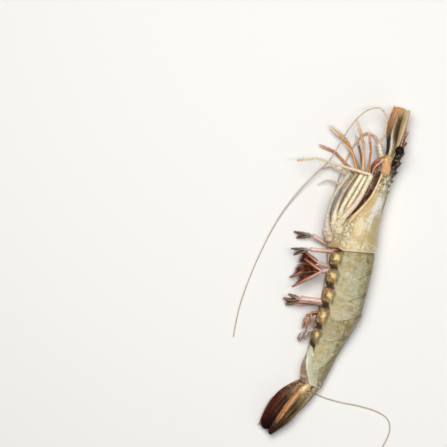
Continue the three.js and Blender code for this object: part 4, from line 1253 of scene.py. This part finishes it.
# ---------------------------------------------------------------- long feelers
# Each long feeler is a whip of many fine rings on a stout barrel of three articles. The
# left one loops back over the legs, the right one runs under the body and out at the tail.
LEFT_ANTENNA = [
    (-7.3, 158.2, 16.1), (-6.7, 163.2, 17.0), (-7.6, 168.9, 17.6), (-10.0, 173.6, 17.2),
    (-14.5, 175.6, 15.8), (-20.0, 171.6, 13.4), (-23.6, 163.0, 11.0), (-25.4, 152.0, 8.6),
    (-27.0, 141.0, 6.6), (-30.4, 132.6, 5.0), (-34.4, 122.0, 3.2), (-38.0, 109.0, 1.6),
    (-40.0, 94.0, 0.7), (-40.6, 74.0, 0.6), (-39.4, 54.3, 0.6), (-36.0, 38.0, 0.6),
]
RIGHT_ANTENNA = [
    (-7.3, 158.2, 6.0), (-10.6, 162.0, 4.0), (-15.6, 161.0, 1.8), (-18.4, 153.0, 0.6),
    (-19.0, 140.0, 0.6), (-17.4, 124.0, 0.6), (-12.6, 106.0, 0.6), (-6.4, 90.0, 0.6),
    (-2.4, 74.0, 0.6), (0.0, 58.0, 0.6), (2.6, 44.0, 0.6), (7.2, 33.0, 0.6),
    (12.7, 28.6, 0.6), (18.8, 27.9, 0.6), (27.9, 29.0, 0.6), (38.2, 31.2, 0.6),
    (47.9, 32.1, 0.6), (54.3, 30.4, 0.6), (57.3, 24.9, 0.6), (57.0, 16.4, 0.6), (53.6, 6.0, 0.6),
]
ANTENNA_BARREL = [(-1.9, 150.2, 4.9), (-4.0, 154.4, 5.0), (-7.3, 158.6, 5.0)]
ANTENNA_BARREL_RADII = [1.3, 1.6, 1.45]
WHIP_RADIUS = 0.45
RINGS_PER_POINT = 26
RING_DEPTH = 0.10

antenna_paint = limb_paint(
    "antenna_paint", (0.0, (0.76, 0.68, 0.46)), (0.15, (0.80, 0.74, 0.56)), (0.19, (0.80, 0.50, 0.34)),
    (0.30, (0.80, 0.58, 0.44)), (0.6, (0.66, 0.56, 0.44)), (1.0, (0.58, 0.46, 0.34)), wander=0.03)
for (side_name, side), route in zip(SIDES, (LEFT_ANTENNA, RIGHT_ANTENNA)):
    barrel = beside(ANTENNA_BARREL, side)
    pieces = limb(f"antenna_{side_name}", barrel, ANTENNA_BARREL_RADII, reach=0.15, sides=20)
    count = len(route) * RINGS_PER_POINT
    radii = []
    for k in range(count + 1):
        taper = WHIP_RADIUS * (1 - 0.45 * k / count) + 0.16 * (1 - ease(0.0, 0.30, k / count))
        radii.append(taper * (1.0 + RING_DEPTH * (k % 2)))
    pieces.append(tube(f"whip_{side_name}", smooth_path(route, count), radii, sides=8, span=(0.2, 1.0)))
    antenna = joined(f"antenna_{side_name}_whip", pieces)
    finish_piece(antenna, antenna_paint, "feelers", f"antenna_{side_name}")

# ---------------------------------------------------------------- mouth limbs
# The last pair of mouth limbs, of horn: stout, brown and hairy. They are jointed to the
# underside in front of the legs, and lie folded forward under the head.
MAXILLIPED = [(-4.6, 129.0, 4.0), (-2.9, 134.5, 4.4), (-3.0, 142.4, 4.6), (-3.4, 148.4, 4.4)]
MAXILLIPED_RADII = [1.4, 1.4, 1.2, 0.6]
MAXILLIPED_HAIRS = 40
MOUTH_SEED = 70
# The points and radii of its branch and palp, and what their length counts for in the colours.
MOUTH_BRANCHES = [
    ([(-3.0, 142.0, 5.0), (-5.4, 146.4, 7.0), (-4.6, 150.6, 7.8), (-1.6, 154.6, 7.4)],
     [0.6, 0.65, 0.65, 0.3], (0.62, 0.84)),
    ([(-4.4, 142.6, 6.0), (-4.2, 147.6, 7.6), (-1.8, 151.6, 7.4)], [0.4, 0.5, 0.4], (0.87, 1.0)),
]
maxilliped_paint = limb_paint(
    "maxilliped_paint", (0.0, (0.20, 0.11, 0.04)), (0.4, (0.16, 0.08, 0.03)),
    (0.60, (0.10, 0.04, 0.012)), (0.64, (0.13, 0.012, 0.001)), (0.74, (0.36, 0.07, 0.015)),
    (0.84, (0.52, 0.20, 0.09)), (0.86, (0.54, 0.28, 0.20)), (1.0, (0.62, 0.34, 0.24)), wander=0.0)
hair_paint = bristle_paint("hair_paint", (0.34, 0.16, 0.07), (0.56, 0.34, 0.18))


def hair_stems(joints, radius, length, count, draw):
    """Short hairs that lean forward all round a limb's articles."""
    stems = []
    for start, end in zip(joints, joints[1:]):
        start, end = Vector(start), Vector(end)
        forward = (end - start).normalized()
        for _ in range(count):
            share = 0.2 + 0.75 * draw.random()
            turn = Matrix.Rotation(2 * math.pi * draw.random(), 3, forward)
            outward = turn @ forward.orthogonal().normalized()
            root = start.lerp(end, share) + outward * radius * 0.85
            reach = length * (0.6 + 0.7 * draw.random())
            way = (outward + forward * 0.9).normalized()
            stems.append((root, root + way * reach * 0.5, root + (way + forward * 0.4) * reach))
    return stems


for side_name, side in SIDES:
    joints = beside(MAXILLIPED, side)
    pieces = limb(f"maxilliped_{side_name}", joints, MAXILLIPED_RADII, reach=0.6, sides=16)
    for route, radii, span in MOUTH_BRANCHES:
        path = smooth_path(beside(route, side))
        girth = [curve_value(radii, share) for share in LIMB_SHARES]
        pieces.append(tube(f"branch_{side_name}", path, girth, sides=12, flat=1.1, span=span))
    maxilliped = joined(f"maxilliped_{side_name}_limb", pieces)
    finish_piece(maxilliped, maxilliped_paint, "mouthparts", f"maxilliped_{side_name}")
    draw = random.Random(MOUTH_SEED + side)
    stems = hair_stems(joints, radius=1.3, length=1.2, count=MAXILLIPED_HAIRS, draw=draw)
    hairs = bristles(f"maxilliped_{side_name}_hair", stems, thickness=0.07)
    finish_piece(hairs, hair_paint, "mouthparts")

# ---------------------------------------------------------------- walking legs
# Five pairs, each of five articles on a stout hip. The first three end in a small claw of
# two fingers, the last two in a point. Cream at the body, they turn orange and red.
LEG_JOINTS = {
    "left": [
        [(-8.2, 120.6, 15.7), (-8.7, 123.6, 17.0), (-7.9, 129.8, 17.3), (-6.6, 141.8, 17.0),
         (-9.6, 153.6, 18.0), (-14.8, 163.1, 17.6)],
        [(-10.0, 116.4, 16.0), (-11.4, 120.6, 17.4), (-10.6, 129.6, 17.6), (-8.9, 141.4, 17.2),
         (-14.0, 154.8, 19.4), (-22.7, 165.7, 17.0)],
        [(-9.9, 111.8, 17.6), (-8.6, 117.6, 20.4), (-5.6, 127.8, 20.2), (-4.5, 142.4, 20.6),
         (-34.1, 139.0, 19.4), (-42.3, 134.1, 16.4)],
        [(-11.8, 111.8, 15.9), (-13.9, 118.6, 16.8), (-13.9, 129.4, 17.0), (-11.4, 140.4, 16.6),
         (-17.6, 148.8, 16.2), (-23.5, 151.8, 14.2)],
        [(-13.6, 107.0, 14.4), (-16.8, 115.2, 13.6), (-17.6, 125.4, 14.8), (-15.0, 138.4, 15.8),
         (-20.8, 141.2, 14.2), (-24.4, 138.2, 11.4)],
    ],
    "right": [
        [(-8.2, 120.6, 6.5), (-8.7, 123.6, 5.6), (-8.4, 130.0, 5.4), (-8.2, 141.2, 5.8),
         (-13.4, 150.2, 7.6), (-19.9, 158.6, 8.4)],
        [(-10.0, 116.4, 6.2), (-11.4, 120.8, 4.8), (-11.2, 130.0, 4.6), (-11.4, 143.0, 4.8),
         (-22.6, 153.6, 6.4), (-33.6, 157.5, 5.8)],
        [(-9.9, 111.8, 4.4), (-9.2, 117.8, 2.4), (-8.6, 128.0, 2.0), (-10.8, 139.4, 2.0),
         (-26.4, 146.4, 2.6), (-35.0, 146.4, 2.0)],
        [(-11.8, 111.8, 6.3), (-14.1, 118.6, 5.0), (-13.9, 129.0, 5.0), (-13.8, 137.4, 5.0),
         (-24.6, 138.6, 4.4), (-29.6, 135.2, 1.4)],
        [(-13.6, 107.0, 7.8), (-16.6, 115.2, 8.6), (-17.4, 124.4, 8.4), (-17.0, 132.0, 7.6),
         (-23.4, 131.6, 4.8), (-27.6, 127.4, 1.4)],
    ],
}
HIP_RADIUS = 2.0
HIP_STEPS = 14
UPPER_STEPS = 42
FINGER_STEPS = 16
LEG_RADII = {
    "left": [
        [1.0, 0.95, 0.85, 0.55, 0.50], [1.05, 1.0, 0.95, 0.75, 0.60], [1.25, 1.15, 0.95, 0.55, 0.50],
        [0.95, 0.85, 0.85, 0.75, 0.25], [1.05, 0.90, 0.80, 0.45, 0.18],
    ],
    "right": [
        [1.0, 0.95, 0.85, 0.60, 0.50], [1.05, 1.0, 1.0, 0.95, 0.90], [1.1, 1.0, 0.95, 0.70, 0.60],
        [0.95, 0.85, 0.85, 0.55, 0.20], [1.05, 0.90, 0.80, 0.45, 0.18],
    ],
}
CLAWED_LEGS = 3
CLAW_SHARE = 0.42
CREAM, ROSE, GREY = (0.86, 0.77, 0.52), (0.78, 0.60, 0.46), (0.62, 0.56, 0.46)
ORANGE, RED, TIP = (0.66, 0.30, 0.10), (0.50, 0.15, 0.05), (0.84, 0.68, 0.52)
LEG_COLOURS = {
    "left": [
        [(0.0, ROSE), (0.2, CREAM), (0.56, CREAM), (0.62, ORANGE), (0.74, RED), (0.90, RED),
         (0.97, TIP)],
        [(0.0, CREAM), (0.55, CREAM), (0.66, (0.76, 0.54, 0.31)), (0.80, (0.64, 0.42, 0.26)),
         (0.88, ORANGE), (0.97, TIP)],
        [(0.0, CREAM), (0.2, CREAM), (0.4, ROSE), (0.58, CREAM), (0.78, ROSE), (0.90, CREAM),
         (0.98, ORANGE)],
        [(0.0, ROSE), (0.2, CREAM), (0.4, (0.46, 0.34, 0.23)), (0.55, (0.38, 0.26, 0.14)),
         (0.66, ORANGE), (0.84, ORANGE), (0.97, TIP)],
        [(0.0, ROSE), (0.2, GREY), (0.45, GREY), (0.60, (0.62, 0.53, 0.30)), (0.8, ROSE), (1.0, TIP)],
    ],
    "right": [
        [(0.0, ROSE), (0.5, CREAM), (0.62, (0.34, 0.17, 0.06)), (0.86, (0.30, 0.12, 0.04)), (0.97, TIP)],
        [(0.0, ROSE), (0.5, CREAM), (0.62, (0.60, 0.36, 0.20)), (0.76, ORANGE),
         (0.86, (0.72, 0.38, 0.13)), (0.95, TIP)],
        [(0.0, ROSE), (0.5, CREAM), (0.64, ORANGE), (0.85, RED), (0.97, TIP)],
        [(0.0, ROSE), (0.5, CREAM), (0.8, ROSE), (1.0, ORANGE)],
        [(0.0, ROSE), (0.5, GREY), (0.8, ROSE), (1.0, TIP)],
    ],
}


def leg_pieces(name, joints, radii, clawed):
    """The hip, the long bowed article, the shank and the hand or point of one leg."""
    hip = Vector(joints[0])
    inward = Vector((3.4, -3.6, 2.0 if hip.z < MIDDLE else -2.0))
    coxa = smooth_path([tuple(hip + inward), tuple(hip + inward * 0.4), joints[0]], HIP_STEPS)
    swelling = [
        HIP_RADIUS * (1.05 + 0.22 * math.sin(math.pi * k / HIP_STEPS)) for k in range(HIP_STEPS + 1)]
    root = tube(f"{name}_hip", coxa, swelling, sides=20, span=(0.0, 0.10))
    pieces = [roughen(root, size=1.8, height=0.7, seed=joints[0][1])]
    girth = []
    for k in range(UPPER_STEPS + 1):
        share = k / UPPER_STEPS
        dips = -0.25 * bump(share, 0.13, 0.03) - 0.20 * bump(share, 0.34, 0.025)
        knee = 0.10 * bump(share, 0.93, 0.04)
        girth.append(curve_value([HIP_RADIUS, *radii[:3]], share) + dips + knee)
    upper = smooth_path(joints[:4], UPPER_STEPS)
    pieces.append(tube(f"{name}_upper", upper, girth, sides=20, flat=1.18, span=(0.08, 0.6)))
    shank_radii = (radii[2] * 0.95, radii[3])
    pieces.append(article(f"{name}_shank", *joints[3:5], *shank_radii, span=(0.6, 0.8), bow=0.1))
    wrist, tip = Vector(joints[4]), Vector(joints[5])
    if not clawed:
        point_radii = (radii[3] * 0.95, radii[4])
        pieces.append(article(f"{name}_point", wrist, tip, *point_radii, span=(0.8, 1.0)))
        return pieces
    palm = wrist.lerp(tip, CLAW_SHARE)
    finger = tip - palm
    aside = finger.cross(Vector((0, 0, 1))).normalized() * radii[4] * 0.75
    palm_radii = (radii[3] * 0.9, radii[4] * 1.15)
    pieces.append(article(f"{name}_palm", wrist, palm, *palm_radii, span=(0.8, 0.88), flat=1.15))
    for way in (1, -1):
        route = [
            palm + aside * way - finger * 0.12, palm + aside * way * 1.05 + finger * 0.35,
            palm + aside * way * 0.95 + finger * 0.75, tip + aside * way * 0.6,
        ]
        path = smooth_path(route, FINGER_STEPS)
        slim = [radii[4] * (0.68 - 0.42 * (k / FINGER_STEPS) ** 3) for k in range(FINGER_STEPS + 1)]
        pieces.append(tube(f"{name}_finger", path, slim, sides=10, span=(0.88, 1.0)))
    return pieces


for side_name in ("left", "right"):
    for index, joints in enumerate(LEG_JOINTS[side_name]):
        name = f"leg_{side_name}_{index + 1}"
        radii = LEG_RADII[side_name][index]
        leg = joined(f"{name}_articles", leg_pieces(name, joints, radii, index < CLAWED_LEGS))
        paint = limb_paint(f"{name}_paint", *LEG_COLOURS[side_name][index])
        finish_piece(leg, paint, "legs", name)

# ---------------------------------------------------------------- swimmerets
# Five pairs under the abdomen. A stout stem hangs from the belly and carries two narrow
# paddles fringed with long red-brown bristles.
LEFT_SWIMMERETS = [
    {"root": (-6.8, 98.9, 14.8), "knee": (-18.1, 95.0, 14.6),
     "outer": (-27.0, 91.6, 11.6), "inner": (-24.6, 89.2, 9.8)},
    {"root": (-5.4, 89.8, 13.4), "knee": (-8.0, 87.2, 14.2),
     "outer": (-18.8, 73.8, 10.8), "inner": (-18.9, 89.6, 9.8)},
    {"root": (-3.4, 72.4, 12.4), "knee": (-12.6, 69.8, 12.2),
     "outer": (-18.9, 69.6, 10.2), "inner": (-16.6, 67.0, 9.0)},
    {"root": (-2.8, 67.4, 9.8), "knee": (-4.4, 65.6, 11.2),
     "outer": (-0.8, 58.8, 10.2), "inner": (-3.2, 59.4, 9.6)},
    {"root": (-1.8, 57.6, 8.6), "knee": (-2.4, 56.0, 9.0),
     "outer": (-1.6, 51.6, 8.2), "inner": (-3.0, 52.4, 7.2)},
]
# For each pair: the radii of the stem, how flat it is, the widths of the two paddles, and
# the numbers of long and short bristles.
SWIMMERET_FORM = [
    {"stem": (1.20, 1.05), "flat": 1.1, "paddles": (1.0, 0.9), "fan": 120, "hair": 50},
    {"stem": (1.20, 1.15), "flat": 1.1, "paddles": (1.5, 1.3), "fan": 900, "hair": 70},
    {"stem": (1.10, 1.00), "flat": 1.7, "paddles": (1.3, 1.1), "fan": 160, "hair": 50},
    {"stem": (0.80, 0.70), "flat": 1.1, "paddles": (0.95, 0.85), "fan": 36, "hair": 26},
    {"stem": (0.70, 0.60), "flat": 1.1, "paddles": (0.90, 0.80), "fan": 24, "hair": 20},
]
PADDLE_GIRTH = 0.42
STEM_INSIDE = (3.6, 1.0, 0.0)
# Colours along each pair's limb. The pale pink stop at 0.34 of the first pair is a painted highlight on
# its stem.
SWIMMERET_COLOURS = [
    [(0.0, (0.6, 0.32, 0.12)), (0.2, (0.62, 0.38, 0.24)), (0.34, (0.85, 0.64, 0.56)),
     (0.5, (0.46, 0.24, 0.17)), (0.62, (0.26, 0.2, 0.15)), (0.8, (0.15, 0.12, 0.07)),
     (1.0, (0.1, 0.08, 0.05))],
    [(0.0, (0.66, 0.5, 0.44)), (0.45, (0.72, 0.52, 0.44)), (0.56, (0.7, 0.38, 0.26)),
     (0.8, (0.56, 0.24, 0.13)), (1.0, (0.2, 0.06, 0.03))],
    [(0.0, (0.6, 0.46, 0.28)), (0.16, (0.76, 0.5, 0.4)), (0.4, (0.74, 0.42, 0.36)),
     (0.52, (0.6, 0.36, 0.16)), (0.7, (0.3, 0.16, 0.1)), (1.0, (0.34, 0.22, 0.16))],
    [(0.0, (0.5, 0.18, 0.1)), (0.5, (0.52, 0.16, 0.08)), (0.75, (0.6, 0.3, 0.14)),
     (1.0, (0.8, 0.62, 0.36))],
    [(0.0, (0.5, 0.36, 0.24)), (0.6, (0.7, 0.58, 0.48)), (1.0, (0.74, 0.62, 0.5))],
]
RIGHT_SWING = [(-1.6, 7.2), (-2.4, 3.2), (-1.2, -2.4), (-1.8, -2.6), (-2.0, -1.6)]
LOWEST = 2.2
SWIMMERET_SEEDS = {"left": 100, "right": 150}


def right_of(row, index):
    """The joints of the right swimmeret, below the left one and swung from under it."""
    middle = curve_point(ABDOMEN, (5.5 - index) / SEGMENTS)[5]
    drop = 2 * (row["root"][2] - middle)
    reach = {"root": 0.0, "knee": 1.0, "outer": 1.2, "inner": 1.2}
    return {
        joint: (
            x + RIGHT_SWING[index][0] * reach[joint],
            y + RIGHT_SWING[index][1] * reach[joint],
            max(z - drop, LOWEST),
        )
        for joint, (x, y, z) in row.items()
    }


def fan_stems(knee, outer, inner, count, draw):
    """Long bristles that spread from the two paddles and fill the fan between them."""
    knee, outer, inner = Vector(knee), Vector(outer), Vector(inner)
    stems = []
    for _ in range(count):
        across = draw.random()
        rim = outer.lerp(inner, across)
        side = outer if across < 0.5 else inner
        root = knee.lerp(side, 0.55 * draw.random())
        end = root.lerp(rim, 0.72 + 0.30 * draw.random())
        sag = Vector((0, 0, 0.9 * draw.random() - 0.2))
        stems.append((root, root.lerp(end, 0.5) + sag, end))
    return stems


def paddle(name, start, end, width):
    """A flat narrow blade from a swimmeret's stem, widest past its middle."""
    raised = Vector(start).lerp(Vector(end), 0.5) + Vector((0, 0, 0.5))
    path = smooth_path([start, tuple(raised), end])
    girth = [
        PADDLE_GIRTH * math.sin(math.pi * (0.14 + 0.82 * share ** 1.2)) ** 0.6 for share in LIMB_SHARES]
    return tube(name, path, girth, sides=16, flat=width / 2 / PADDLE_GIRTH, span=(0.5, 1.0))


def swimmeret_paint(number):
    """Pink and brown translucent horn, streaked along its length."""
    stops = SWIMMERET_COLOURS[number]
    paint = Paint(f"swimmeret_{number + 1}_paint", stops[0][1], roughness=0.34, coat=0.5, soft=0.1)
    mottle = paint.cloud(1.8)
    place = paint.wander(paint.value("along"), mottle, 0.12)
    paint.wash(paint.ramp(place, *stops), 1.0)
    streaks = paint.fibres(3.2, 2.0, edge_on=True)
    pale = paint.fibres(3.0, 2.4, seed=4.0, edge_on=True)
    paint.wash((0.14, 0.04, 0.018), (streaks, (0.5, 0), (0.58, 0.75)))
    paint.wash((0.88, 0.7, 0.62), (pale, (0.52, 0), (0.6, 0.75)), (place, (0.55, 1), (0.75, 0.3)))
    return paint.done(0.22, (streaks, 1), (mottle, 1))


def paddle_stems(start, end, width, count, length, draw):
    """Bristles along both edges of a paddle."""
    start, end = Vector(start), Vector(end)
    forward = (end - start).normalized()
    across = forward.cross(Vector((0, 0, 1))).normalized()
    stems = []
    for way in (1, -1):
        for k in range(count):
            share = 0.10 + 0.88 * (k + draw.random()) / count
            half = width / 2 * math.sin(math.pi * min(0.25 + share * 0.7, 1.0))
            root = start.lerp(end, share) + across * way * half * 0.8
            lean = (across * way + forward * (0.7 + share)).normalized()
            reach = length * (0.7 + 0.5 * draw.random())
            droop = Vector((0, 0, -0.35 * reach * draw.random()))
            stems.append((root, root + lean * reach * 0.5, root + lean * reach + droop))
    return stems


swimmeret_paints = [swimmeret_paint(k) for k in range(len(SWIMMERET_COLOURS))]
swimmeret_hair_paint = bristle_paint("swimmeret_hair_paint", (0.07, 0.013, 0.005), (0.36, 0.10, 0.04))
for side_name in ("left", "right"):
    for index, left_row in enumerate(LEFT_SWIMMERETS):
        row = left_row if side_name == "left" else right_of(left_row, index)
        form = SWIMMERET_FORM[index]
        name = f"swimmeret_{side_name}_{index + 1}"
        inside = Vector(row["root"]) + Vector(STEM_INSIDE)
        pieces = [article(
            f"{name}_stem", inside, row["knee"], *form["stem"], span=(-0.1, 0.5), sides=18,
            flat=form["flat"])]
        for branch, width in zip(("outer", "inner"), form["paddles"]):
            pieces.append(paddle(f"{name}_{branch}", row["knee"], row[branch], width))
        swimmeret = joined(f"{name}_stem", pieces)
        finish_piece(swimmeret, swimmeret_paints[index], "swimmerets", name)
        draw = random.Random(SWIMMERET_SEEDS[side_name] + index)
        stems = []
        for branch, width in zip(("outer", "inner"), form["paddles"]):
            stems += paddle_stems(row["knee"], row[branch], width, form["hair"], length=1.0, draw=draw)
        stems += fan_stems(row["knee"], row["outer"], row["inner"], form["fan"], draw)
        hairs = bristles(f"{name}_hair", stems, thickness=0.15)
        finish_piece(hairs, swimmeret_hair_paint, "swimmerets")
